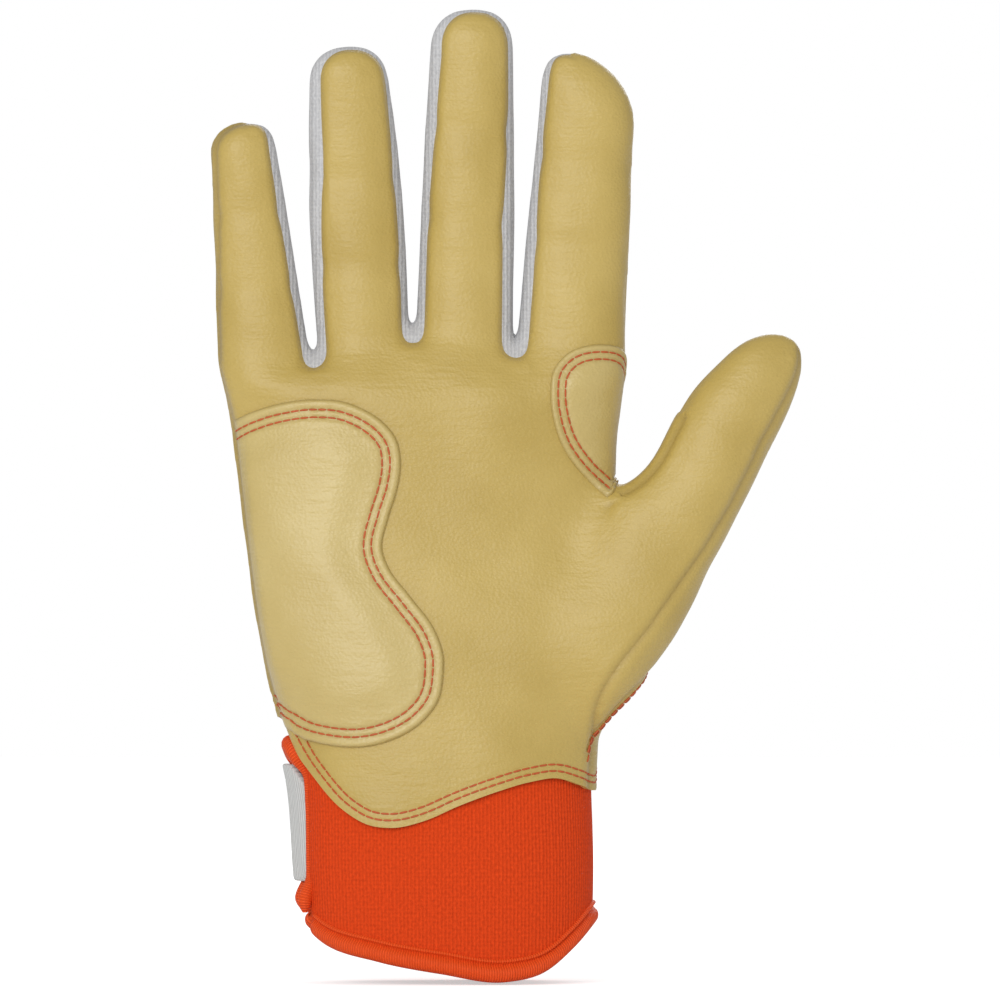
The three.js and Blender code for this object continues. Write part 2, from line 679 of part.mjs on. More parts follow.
// Rolled rim, with a groove that takes the cuff's lower edge
const rimStart = angleAtDepth(SLIT_FRONT);
const rimEnd = angleAtDepth(SLIT_BACK) + 2 * Math.PI;
const rimRings = angles(rimStart, rimEnd, RIM_STEPS).map((angle) => {
  const middle = onCuff(cuffMiddle, angle);
  middle.z = rimCurve.evaluate(middle.x)[0] + BINDING_HEIGHT / 2;
  const out = onCuff(cuffMiddle + 1, angle).sub(onCuff(cuffMiddle, angle)).normalize();
  return Array.from({ length: ROLL_POINTS }, (_, i) => {
    const point = oval((i / ROLL_POINTS) * Math.PI * 2, FINGER_SQUARENESS);
    const high = (point.across * BINDING_HEIGHT) / 2;
    return middle.clone().addScaledVector(up, high).addScaledVector(out, point.deep * rollThickness);
  });
});
const rimGroove = cuffRoom.intersect(prism(above(raised(rim, cuffFootRise - GAP))));
add("cuff_binding", loft(rimRings).subtract(rimGroove), ORANGE_TAPE, 0.6);

// Rolled back edge of the slit
const slitEdge = onCuff(cuffMiddle, angleAtDepth(SLIT_BACK));
const slitFoot = rimCurve.evaluate(slitEdge.x)[0] + BINDING_HEIGHT + GAP;
const slitRings = [slitFoot, SLIT_TOP].map((z) =>
  Array.from({ length: ROLL_POINTS }, (_, i) => {
    const point = oval((i / ROLL_POINTS) * Math.PI * 2, FINGER_SQUARENESS);
    return new THREE.Vector3(slitEdge.x + point.across * rollThickness, slitEdge.y + point.deep * SLIT_ROLL, z);
  }),
);
const behindSlit = prism([[-REACH, -REACH], [REACH, -REACH], [REACH, REACH], [-REACH, REACH]], SLIT_BACK - GAP, REACH);
add("slit_binding", loft(slitRings).subtract(cuffRoom.intersect(behindSlit)), ORANGE_TAPE, 0.6);

// Strap and tapes: bands that follow the cuff's oval, drawn in plan and raised
function band(inside, outsideLevel, places, foot, height) {
  const outer = places.map((angle) => onCuff(outsideLevel(angle), angle));
  const inner = places.map((angle) => onCuff(inside(angle), angle)).reverse();
  const shape = new THREE.Shape([...outer, ...inner].map((point) => new THREE.Vector2(point.x, point.y)));
  const geometry = new THREE.ExtrudeGeometry(shape, { depth: height, bevelEnabled: false });
  geometry.translate(0, 0, foot);
  return solid(geometry);
}

const strapStart = angleAtDepth(SLIT_FRONT + GAP);
const strapSeat = angleAtDepth(SLIT_BACK + SLIT_ROLL);
const strapSunk = cuffMiddle - STRAP_WEBBING / 2;

function strapLevel(angle) {
  const share = THREE.MathUtils.smoothstep(strapStart - angle, 0, strapStart - strapSeat);
  return THREE.MathUtils.lerp(strapSunk, strapInside, share);
}

const strapPlaces = angles(strapStart, angleAcrossBack(STRAP_END_X), STRAP_STEPS);
const strapBand = band(
  strapLevel,
  (angle) => strapLevel(angle) + STRAP_WEBBING,
  strapPlaces,
  STRAP_FOOT,
  STRAP_HEIGHT,
);
const strapShape = new THREE.Shape();
strapShape.moveTo(-REACH, STRAP_FOOT);
strapShape.lineTo(STRAP_END_X - STRAP_CORNER, STRAP_FOOT);
strapShape.absarc(STRAP_END_X - STRAP_CORNER, STRAP_FOOT + STRAP_CORNER, STRAP_CORNER, -Math.PI / 2, 0);
strapShape.absarc(
  STRAP_END_X - STRAP_CORNER,
  STRAP_FOOT + STRAP_HEIGHT - STRAP_CORNER,
  STRAP_CORNER,
  0,
  Math.PI / 2,
);
strapShape.lineTo(-REACH, STRAP_FOOT + STRAP_HEIGHT);
const strapOutline = strapShape.getPoints(6).map((point) => [point.x, point.y]);
add("wrist_strap", strapBand.intersect(prism(strapOutline)), PALE_WEBBING, 0.8);

function tape(inside, fromX, toX) {
  const places = angles(angleAcrossBack(fromX), angleAcrossBack(toX), STRAP_STEPS / 2);
  const level = (rise) => () => inside + rise;
  return band(level(0), level(TAPE), places, STRAP_FOOT + TAPE_MARGIN, STRAP_HEIGHT - 2 * TAPE_MARGIN);
}

const hookEnd = STRAP_END_X - TAPE_MARGIN;
add("hook_tape", tape(hookInside, hookEnd - HOOK_LENGTH, hookEnd), PALE_WEBBING, 0.95);
const loopEnd = STRAP_END_X + STRAP_CORNER;
add("loop_tape", tape(loopInside, loopEnd - LOOP_LENGTH, loopEnd), ORANGE_KNIT, 1);

export default group;
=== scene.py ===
"""Batting glove for the right hand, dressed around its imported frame.

The hand and its digits are one smooth field. Its surface is cut along the seams into the panels
that the glove is sewn from, and each panel is a thin closed shell. Sizes are millimetres until a
mesh is made.
"""

import itertools
import logging
import math
from collections.abc import Sequence
from dataclasses import dataclass, field
from enum import Enum

import bpy
import numpy as np
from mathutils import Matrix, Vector


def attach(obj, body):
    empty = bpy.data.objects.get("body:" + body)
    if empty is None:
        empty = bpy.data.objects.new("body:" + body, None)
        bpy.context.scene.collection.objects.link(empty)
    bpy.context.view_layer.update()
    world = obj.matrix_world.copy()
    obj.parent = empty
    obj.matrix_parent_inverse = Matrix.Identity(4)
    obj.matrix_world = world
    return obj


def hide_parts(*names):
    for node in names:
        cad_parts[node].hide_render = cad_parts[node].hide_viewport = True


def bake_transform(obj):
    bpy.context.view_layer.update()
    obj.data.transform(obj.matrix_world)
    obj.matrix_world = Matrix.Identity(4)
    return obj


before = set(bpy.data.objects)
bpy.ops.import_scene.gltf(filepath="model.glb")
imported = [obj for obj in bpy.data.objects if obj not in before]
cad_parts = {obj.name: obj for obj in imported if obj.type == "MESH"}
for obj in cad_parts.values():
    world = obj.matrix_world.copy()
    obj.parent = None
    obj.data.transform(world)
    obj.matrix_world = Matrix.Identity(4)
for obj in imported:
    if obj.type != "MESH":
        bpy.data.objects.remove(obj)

Array = np.ndarray
Pair = tuple[float, float]
Triple = tuple[float, float, float]
Line = tuple[Pair, ...]
Material = bpy.types.Material
Piece = bpy.types.Object
Socket = bpy.types.NodeSocket
Tree = bpy.types.NodeTree
MM = 0.001
# Places of the little finger, the index finger and the thumb among the digits
LITTLE, INDEX, THUMB = 0, 3, 4
# Value of a place that is far from every seam
NO_SEAM = 9
# Length below which a direction counts as none, and the least distance from a form's middle line
NO_LENGTH = 1e-12
OFF_AXIS = 1e-6
log = logging.getLogger("glove")


class Slot(Enum):
    """Names of the material slots."""

    GOLD = "gold_leather"
    PATCH = "patch_leather"
    GREY = "grey_knit"
    CUFF = "orange_knit"
    TAPE = "orange_tape"
    STRAP = "strap_webbing"
    HOOK = "hook_tape"
    LOOP = "loop_pile"


# Curves and fields


def smoothstep(low: Array | float, high: Array | float, value: Array) -> Array:
    """Eases from 0 at low to 1 at high.

    Args:
        low: Where the rise begins.
        high: Where it ends.
        value: Places to look at.

    Returns:
        The eased share at each place.
    """
    share = np.clip((value - low) / (high - low), 0, 1)
    return share * share * (3 - 2 * share)


def hump(value: Array, middle: float, width: float) -> Array:
    """Bell-shaped hump of height 1 round a middle.

    Args:
        value: Places to look at.
        middle: Place of the top.
        width: Distance at which the hump has fallen to about a third.

    Returns:
        The height at each place.
    """
    return np.exp(-(((value - middle) / width) ** 2))


def smooth_min(first: Array, second: Array, reach: Array | float) -> Array:
    """Smaller of two fields, rounded off where they are nearly equal.

    Args:
        first: One field.
        second: The other field.
        reach: Difference up to which the two flow together.

    Returns:
        The rounded lower field.
    """
    share = np.clip(0.5 + 0.5 * (second - first) / reach, 0, 1)
    return second * (1 - share) + first * share - reach * share * (1 - share)


def through_three(values: Sequence[float], share: Array) -> Array:
    """Parabola through three equally spaced values.

    Args:
        values: Values at 0, at a half and at 1.
        share: Places between 0 and 1.

    Returns:
        The value at each place.
    """
    first, middle, last = values
    slope = 4 * middle - 3 * first - last
    bow = 2 * first + 2 * last - 4 * middle
    return first + slope * share + bow * share * share


def curve_at(places: Sequence[float], values: Sequence[float], at: Array) -> Array:
    """Smooth curve through values at given places.

    Args:
        places: Rising places of the values.
        values: The values there.
        at: Places to look at, held inside the curve's ends.

    Returns:
        The curve's value at each place.
    """
    knots, heights = np.asarray(places, float), np.asarray(values, float)
    slopes = np.gradient(heights, knots)
    at = np.clip(at, knots[0], knots[-1])
    left = np.clip(np.searchsorted(knots, at, side="right") - 1, 0, len(knots) - 2)
    span = knots[left + 1] - knots[left]
    t = (at - knots[left]) / span
    start = heights[left] * (1 + 2 * t) * (1 - t) ** 2 + slopes[left] * span * t * (1 - t) ** 2
    end = heights[left + 1] * t * t * (3 - 2 * t) + slopes[left + 1] * span * t * t * (t - 1)
    return start + end


def lengths_along(line: Array) -> Array:
    """Distance from a line's start at each of its points."""
    return np.concatenate([[0], np.cumsum(np.linalg.norm(np.diff(line, axis=0), axis=1))])


def point_at(line: Array, reach: Array, at: float) -> Array:
    """Finds a place on a line.

    Args:
        line: Points of the line, or directions at them.
        reach: Distance along the line at each point.
        at: Distance along the line.

    Returns:
        The point or direction there.
    """
    return np.array([np.interp(at, reach, axis) for axis in line.T])


def line_through(
    points: Sequence[Sequence[float]], closed: bool = False, spacing: float = 1.0
) -> Array:
    """Smooth line through points, in steps of about a spacing.

    Args:
        points: Points that the line passes.
        closed: Whether it returns to its first point.
        spacing: Step between the points that come back.

    Returns:
        The line's points.
    """
    knots = np.array(points, float)
    if closed:
        knots = np.vstack([knots[-1:], knots, knots[:2]])
    else:
        knots = np.vstack([2 * knots[:1] - knots[1:2], knots, 2 * knots[-1:] - knots[-2:-1]])
    reach = lengths_along(knots)
    steps = max(int(round((reach[-2] - reach[1]) / spacing)), 2)
    at = np.linspace(reach[1], reach[-2], steps + 1)
    at = at[:-1] if closed else at
    return np.stack([curve_at(reach, knots[:, axis], at) for axis in range(knots.shape[1])], axis=1)


def distance_to(line: Array, places: Array) -> Array:
    """Shortest distance from places to a line of points.

    Args:
        line: Points of the line.
        places: Places to look at, in the same plane.

    Returns:
        The distance of each place.
    """
    best = np.full(len(places), np.inf)
    for start, end in zip(line[:-1], line[1:]):
        along = end - start
        offset = places - start
        share = np.clip(offset @ along / max(along @ along, NO_LENGTH), 0, 1)
        best = np.minimum(best, np.linalg.norm(offset - share[:, None] * along, axis=1))
    return best


def inside(outline: Array, places: Array) -> Array:
    """Tells which places lie within a closed outline.

    Args:
        outline: Points round the outline.
        places: Places to look at.

    Returns:
        True for each place inside.
    """
    found = np.zeros(len(places), bool)
    x, z = places.T
    for (x0, z0), (x1, z1) in zip(outline, np.roll(outline, -1, axis=0)):
        if z0 != z1:
            found ^= ((z0 > z) != (z1 > z)) & (x < (x1 - x0) * (z - z0) / (z1 - z0) + x0)
    return found


def depth_in(outline: Array, places: Array) -> Array:
    """Signed distance to a closed outline, negative inside it.

    Args:
        outline: Points round the outline.
        places: Places to look at.

    Returns:
        The signed distance of each place.
    """
    distance = distance_to(np.vstack([outline, outline[:1]]), places)
    return np.where(inside(outline, places), -distance, distance)


def seen_from_palm(points: Array) -> Array:
    """Places across and up, as the palm's viewer sees them."""
    return points[:, [0, 2]]


# Meshes


def sides_of(faces: Array, count: int) -> tuple[Array, Array]:
    """Lists the sides of triangles.

    Args:
        faces: The triangles.
        count: Number of points.

    Returns:
        The sides as pairs of points, and a number for each that is the same either way round.
    """
    sides = np.stack([faces, np.roll(faces, -1, axis=1)], axis=2).reshape(-1, 2)
    return sides, sides.min(1) * count + sides.max(1)


def between(values: Array, ends: Array, share: Array) -> Array:
    """Values part of the way along edges.

    Args:
        values: One value or row for each point.
        ends: The two points of each edge.
        share: Share of the way along each.

    Returns:
        The value or row on each edge.
    """
    part = share.reshape(-1, *[1] * (values.ndim - 1))
    return values[ends[:, 0]] * (1 - part) + values[ends[:, 1]] * part


@dataclass
class Sheet:
    """A sheet of triangles that can be smoothed, cut along lines and thickened."""

    points: Array
    faces: Array
    values: dict[str, Array] = field(default_factory=dict)
    held: Array = field(default_factory=lambda: np.zeros(0, bool))

    def normals(self) -> Array:
        """Returns the outward direction at each point."""
        corners = self.points[self.faces]
        cross = np.cross(corners[:, 1] - corners[:, 0], corners[:, 2] - corners[:, 0])
        total = np.zeros_like(self.points)
        for axis in range(3):
            weights = np.repeat(cross[:, axis], 3)
            total[:, axis] = np.bincount(self.faces.ravel(), weights, len(self.points))
        return total / np.maximum(np.linalg.norm(total, axis=1, keepdims=True), NO_LENGTH)

    def middles(self) -> Array:
        """Returns the middle of each face."""
        return self.points[self.faces].mean(axis=1)

    def on_faces(self, name: str) -> Array:
        """Returns a carried value at the middle of each face."""
        return self.values[name][self.faces].mean(axis=1)

    def edges(self) -> tuple[Array, Array]:
        """Lists the edges.

        Returns:
            The edges as pairs of points, and for each face the edge on each of its sides.
        """
        count = len(self.points)
        key, index = np.unique(sides_of(self.faces, count)[1], return_inverse=True)
        return np.stack([key // count, key % count], axis=1), index.reshape(-1, 3)

    def evened(self, values: Array, rounds: int, strength: Array | float = 0.5) -> Array:
        """Draws what each point carries towards what its neighbours carry.

        Args:
            values: One row for each point.
            rounds: How often.
            strength: Share of the way each time, one for all or one for each point.

        Returns:
            The evened rows.
        """
        first, second = self.edges()[0].T
        count = len(self.points)
        number = np.bincount(first, minlength=count) + np.bincount(second, minlength=count)
        pull = np.broadcast_to(np.asarray(strength, float), (count,))[:, None]
        for _ in range(rounds):
            total = np.zeros_like(values)
            for axis in range(values.shape[1]):
                total[:, axis] = np.bincount(first, values[second, axis], count)
                total[:, axis] += np.bincount(second, values[first, axis], count)
            values = values + pull * (total / np.maximum(number, 1)[:, None] - values)
        return values

    def smooth(self, rounds: int, strength: Array | float = 0.5) -> None:
        """Draws each point towards its neighbours, as often and as far as given."""
        self.points = self.evened(self.points, rounds, strength)

    def cut(self, name: str, level: float, where: str = "", snap: float = 0.25) -> None:
        """Puts points where a carried value passes a level, so that the faces end on that line.

        Args:
            name: Name of the value.
            level: The level.
            where: Name of another value, which is above a half where the line is wanted.
            snap: A point nearer to the line than this share of an edge is moved onto it, unless an
                earlier line holds it.
        """
        edges, sides = self.edges()
        height = self.values[name] - level
        held = self.held if len(self.held) else np.zeros(len(height), bool)
        wanted = np.ones(len(edges), bool)
        if where:
            wanted = (self.values[where] > 0.5)[edges].all(axis=1)
        source = {"": self.points, **self.values}
        carried = {key: values.copy() for key, values in source.items()}
        before, after = height[edges].T
        crossing = (before * after < 0) & wanted
        share = np.where(crossing, before / np.where(crossing, before - after, 1), 0)
        for end, near in ((0, crossing & (share < snap)), (1, crossing & (share > 1 - snap))):
            near = near & ~held[edges[:, end]]
            for key, values in source.items():
                carried[key][edges[near, end]] = between(values, edges[near], share[near])
            height[edges[near, end]] = 0
        before, after = height[edges].T
        crossing = (before * after < 0) & wanted
        first, second = edges[crossing].T
        share = height[first] / (height[first] - height[second])
        number = np.full(len(edges), -1)
        number[crossing] = len(self.points) + np.arange(crossing.sum())
        for key, values in carried.items():
            carried[key] = np.concatenate([values, between(values, edges[crossing], share)])
        self.points = carried.pop("")
        self.values = carried
        self.held = np.concatenate([held | (height == 0), np.ones(crossing.sum(), bool)])
        middle = number[sides]
        count = (middle >= 0).sum(1)
        parts = [self.faces[count == 0]]
        for corner in range(3):
            after, before = (corner + 1) % 3, (corner + 2) % 3
            alone = (count == 2) & (middle[:, corner] >= 0) & (middle[:, before] >= 0)
            tip, right, left = self.faces[alone][:, [corner, after, before]].T
            up, down = middle[alone, corner], middle[alone, before]
            pieces = [(tip, up, down), (up, right, left), (up, left, down)]
            halved = (count == 1) & (middle[:, corner] >= 0)
            tip, right, left = self.faces[halved][:, [corner, after, before]].T
            up = middle[halved, corner]
            pieces += [(tip, up, left), (up, right, left)]
            parts += [np.stack(three, axis=1) for three in pieces]
        self.faces = np.vstack(parts)

    def part(self, faces: Array) -> "Sheet":
        """Copies some of the faces with their points.

        Args:
            faces: True for each face to take.

        Returns:
            The new sheet.
        """
        used, index = np.unique(self.faces[faces], return_inverse=True)
        values = {name: value[used] for name, value in self.values.items()}
        return Sheet(self.points[used], index.reshape(-1, 3), values)

    def lines_at(self, name: str, level: float, slack: float = 1e-4) -> list[Array]:
        """Follows the lines along which a carried value has a level that the sheet was cut at.

        Args:
            name: Name of the value.
            level: The level.
            slack: How far the value may be off at a point of the line.

        Returns:
            The numbers of the points along each line.
        """
        near = np.abs(self.values[name] - level) < slack
        edges = self.edges()[0]
        edges = edges[near[edges].all(axis=1)]
        ahead: dict[int, list[int]] = {}
        for first, second in edges.tolist():
            ahead.setdefault(first, []).append(second)
            ahead.setdefault(second, []).append(first)
        lines = []
        left = set(ahead)
        for start in sorted(ahead, key=lambda point: len(ahead[point])):
            line = [start] if start in left else []
            while line:
                left.discard(line[-1])
                following = [point for point in ahead[line[-1]] if point in left]
                if not following:
                    break
                line.append(following[0])
            if len(line) > 2:
                closed = len(line) > 8 and line[0] in ahead[line[-1]]
                lines.append(np.array(line + line[:1] if closed else line))
        return lines


def thicken(outer: Array, inner: Array, faces: Array) -> tuple[Array, Array]:
    """Closed body between two sheets with the same faces.

    Args:
        outer: Points of the outer sheet.
        inner: Points of the inner sheet.
        faces: Triangles of the outer sheet.

    Returns:
        The points and triangles of the body, with a rim along every open edge.
    """
    count = len(outer)
    sides, keys = sides_of(faces, count)
    _, index, number = np.unique(keys, return_inverse=True, return_counts=True)
    start, end = sides[number[index] == 1].T
    under = start + count
    rim = [np.stack(three, axis=1) for three in ((end, start, under), (end, under, end + count))]
    return np.vstack([outer, inner]), np.vstack([faces, faces[:, ::-1] + count, *rim])


def grid_faces(rows: int, columns: int, ring: bool = False) -> Array:
    """Triangles of a grid of points.

    Args:
        rows: Points one way.
        columns: Points the other way.
        ring: Whether the last column joins the first.

    Returns:
        The triangles.
    """
    row, column = np.mgrid[0 : rows - 1, 0 : columns if ring else columns - 1]
    after = (column + 1) % columns
    near, far = row * columns, (row + 1) * columns
    corners = (near + column, near + after, far + after, far + column)
    first, second, third, fourth = (corner.ravel() for corner in corners)
    halves = ((first, second, third), (first, third, fourth))
    return np.vstack([np.stack(three, axis=1) for three in halves])


def surface_of(values: Array, corner: Array, step: float) -> Sheet:
    """Surface where a field on a grid passes zero.

    Args:
        values: Field at the grid's points, negative inside.
        corner: Place of the grid's first point.
        step: Distance between grid points.

    Returns:
        The surface, facing out.
    """
    low = values < 0
    shape = np.array(values.shape) - 1
    corners = list(itertools.product((0, 1), repeat=3))

    def at(array: Array, offset: Sequence[int]) -> Array:
        """Part of an array that starts at a cell's corner."""
        return array[tuple(slice(o, o + n) for o, n in zip(offset, shape))]

    number = sum(at(low, offset).astype(np.int8) for offset in corners)
    active = (number > 0) & (number < 8)
    index = np.full(tuple(shape), -1)
    index[active] = np.arange(active.sum())
    total = np.zeros((active.sum(), 3))
    crossings = np.zeros(active.sum())
    for offset in corners:
        for axis in range(3):
            if offset[axis]:
                continue
            ahead = tuple(o + (axis == i) for i, o in enumerate(offset))
            here, there = at(values, offset)[active], at(values, ahead)[active]
            crossing = (here < 0) != (there < 0)
            share = np.where(crossing, here / np.where(crossing, here - there, 1), 0)
            place = np.tile(np.array(offset, float), (len(here), 1))
            place[:, axis] += share
            total += place * crossing[:, None]
            crossings += crossing
    points = corner + step * (np.argwhere(active) + total / crossings[:, None])
    faces = []
    for axis in range(3):
        one, two = (axis + 1) % 3, (axis + 2) % 3
        spans = [slice(1, n) for n in shape]
        spans[axis] = slice(0, shape[axis])
        ahead = list(spans)
        ahead[axis] = slice(1, shape[axis] + 1)
        here, there = low[tuple(spans)], low[tuple(ahead)]
        cells = np.argwhere(here != there)
        cells[:, one] += 1
        cells[:, two] += 1
        around = []
        for back_one, back_two in ((1, 1), (0, 1), (0, 0), (1, 0)):
            cell = cells.copy()
            cell[:, one] -= back_one
            cell[:, two] -= back_two
            around.append(index[tuple(cell.T)])
        quads = np.stack(around, axis=1)
        outward = here[here != there]
        quads = np.where(outward[:, None], quads, quads[:, ::-1])
        faces += [quads[:, [0, 1, 2]], quads[:, [0, 2, 3]]]
    return Sheet(points, np.vstack(faces))


def make_piece(
    name: str,
    points: Array,
    faces: Array,
    material: Material,
    pattern: Array | None = None,
    edge: Array | None = None,
    sharp: float = 50,
) -> Piece:
    """Makes a mesh object from points in millimetres.

    Args:
        name: Name of the piece.
        points: Its points.
        faces: Its triangles.
        material: Its finish.
        pattern: Where the finish's pattern is read, in millimetres; the points if not given.
        edge: Painted shade at each point, from 0 to 1, laid along seams and stitch rows.
        sharp: Angle in degrees above which an edge isn't shaded smooth.

    Returns:
        The object, in metres.
    """
    used, index = np.unique(faces, return_inverse=True)
    mesh = bpy.data.meshes.new(name)
    mesh.from_pydata((points[used] * MM).tolist(), [], index.reshape(faces.shape).tolist())
    mesh.update()
    mesh.shade_smooth()
    mesh.set_sharp_from_angle(angle=math.radians(sharp))
    places = (points if pattern is None else pattern)[used] * MM
    # Painted shade, handed to the finish as the edge value
    painted_shade_values = np.zeros(len(used)) if edge is None else edge[used]
    for label, kind, key, values in (
        ("pattern", "FLOAT_VECTOR", "vector", places),
        ("edge", "FLOAT", "value", painted_shade_values),
    ):
        attribute = mesh.attributes.new(label, kind, "POINT")
        attribute.data.foreach_set(key, values.astype(np.float32).ravel())
    mesh.materials.append(material)
    piece = bpy.data.objects.new(name, mesh)
    bpy.context.scene.collection.objects.link(piece)
    return piece


# Finishes


def linear(code: str) -> tuple[float, float, float, float]:
    """Turns an sRGB hex colour into linear light.

    Args:
        code: Colour as six hex digits after a hash sign.

    Returns:
        Red, green, blue and a full alpha.
    """
    parts = [int(code[i : i + 2], 16) / 255 for i in (1, 3, 5)]
    red, green, blue = (c / 12.92 if c <= 0.04045 else ((c + 0.055) / 1.055) ** 2.4 for c in parts)
    return red, green, blue, 1.0


def add_node(
    tree: Tree,
    kind: str,
    settings: dict[str | int, object],
    links: dict[str | int, Socket],
) -> bpy.types.Node:
    """Adds a node to a tree.

    Args:
        tree: The node tree.
        kind: Blender's name of the node type.
        settings: Values of its properties, or of inputs by name or number.
        links: Sockets that feed its inputs.

    Returns:
        The node.
    """
    node = tree.nodes.new(kind)
    for key, value in settings.items():
        if isinstance(key, str) and hasattr(node, key):
            setattr(node, key, value)
        else:
            node.inputs[key].default_value = value
    for key, socket in links.items():
        tree.links.new(socket, node.inputs[key])
    return node


def per_size(size_mm: float) -> float:
    """Texture scale that gives features of a size in millimetres."""
    return 1 / (size_mm * MM)


# A band texture of scale 1 repeats after this distance
BAND_PERIOD = 0.31416


@dataclass(frozen=True)
class Finish:
    """What every finish has: a name, a main colour, a second tone and how rough it is."""

    name: str
    colour: str
    shade: str
    roughness: float

    def start(self) -> tuple[Material, Tree, Socket]:
        """Begins the material.

        Returns:
            The material, its emptied node tree and the socket with the pattern's places.
        """
        material = bpy.data.materials.new(self.name)
        material.use_nodes = True
        tree = material.node_tree
        tree.nodes.clear()
        place = add_node(tree, "ShaderNodeAttribute", {"attribute_name": "pattern"}, {})
        return material, tree, place.outputs["Vector"]

    def tones(self, tree: Tree, share: Socket) -> Socket:
        """Mixes the two tones.

        Args:
            tree: The node tree.
            share: Share of the second tone.

        Returns:
            The socket with the colour.
        """
        settings = {"data_type": "RGBA", 6: linear(self.colour), 7: linear(self.shade)}
        return add_node(tree, "ShaderNodeMix", settings, {0: share}).outputs[2]

    def end(
        self,
        tree: Tree,
        settings: dict[str | int, object],
        links: dict[str | int, Socket],
    ) -> None:
        """Closes the material with its surface.

        Args:
            tree: The node tree.
            settings: Constant values of the surface.
            links: Sockets that feed the surface.
        """
        surface = add_node(tree, "ShaderNodeBsdfPrincipled", settings, links)
        add_node(tree, "ShaderNodeOutputMaterial", {}, {"Surface": surface.outputs[0]})


@dataclass(frozen=True)
class Leather(Finish):
    """Dyed sheepskin glove leather, drummed soft and lightly waxed, with a broad pale sheen.

    The eye sees slow cloudy shifts of tone and fine creases across the hand; a darker colour along
    the seams is painted shade.
    """

    # Colour of the painted shade along the seams, patch edges and stitch rows
    seam: str = "#8f7536"
    cloud_mm: float = 24
    crease_mm: Triple = (8, 8, 1.5)
    grain_mm: float = 0.8
    crease_depth: float = 0.00022
    grain_depth: float = 0.00008
    cloud_span: Pair = (0.3, 0.72)
    rough_span: Pair = (-0.06, 0.08)
    wax: float = 0.8
    ior: float = 1.5

    def build(self) -> Material:
        """Returns the leather; real grain is finer, and drawn at three pixels here to show."""
        material, tree, place = self.start()
        slow = {"Scale": per_size(self.cloud_mm), "Detail": 3.0}
        cloud = add_node(tree, "ShaderNodeTexNoise", slow, {"Vector": place})
        span = dict(zip(("From Min", "From Max"), self.cloud_span))
        tone = add_node(tree, "ShaderNodeMapRange", span, {"Value": cloud.outputs["Fac"]})
        # Painted shade: the colour is drawn towards the seam colour by the edge value
        near = add_node(tree, "ShaderNodeAttribute", {"attribute_name": "edge"}, {})
        with_painted_shade = add_node(
            tree,
            "ShaderNodeMix",
            {"data_type": "RGBA", 7: linear(self.seam)},
            {0: near.outputs["Fac"], 6: self.tones(tree, tone.outputs["Result"])},
        )
        stretch = tuple(per_size(size) for size in self.crease_mm)
        lay = add_node(tree, "ShaderNodeMapping", {"Scale": stretch}, {"Vector": place})
        fine = {"Scale": 1.0, "Detail": 3.0, "Roughness": 0.55}
        crease = add_node(tree, "ShaderNodeTexNoise", fine, {"Vector": lay.outputs[0]})
        cells = {"Scale": per_size(self.grain_mm)}
        grain = add_node(tree, "ShaderNodeTexVoronoi", cells, {"Vector": place})
        span = dict(zip(("To Min", "To Max"), (self.roughness + one for one in self.rough_span)))
        rough = add_node(tree, "ShaderNodeMapRange", span, {"Value": crease.outputs["Fac"]})
        high = {"Height": crease.outputs["Fac"]}
        folds = add_node(tree, "ShaderNodeBump", {"Distance": self.crease_depth}, high)
        high = {"Height": grain.outputs["Distance"], "Normal": folds.outputs["Normal"]}
        pores = add_node(tree, "ShaderNodeBump", {"Distance": self.grain_depth}, high)
        links = {"Base Color": with_painted_shade.outputs[2], "Roughness": rough.outputs["Result"]}
        links |= {"Normal": pores.outputs["Normal"], "Coat Normal": pores.outputs["Normal"]}
        wax = {"Coat Weight": self.wax, "Coat Roughness": self.roughness, "Coat IOR": self.ior}
        self.end(tree, {"IOR": self.ior, **wax}, links)
        return material


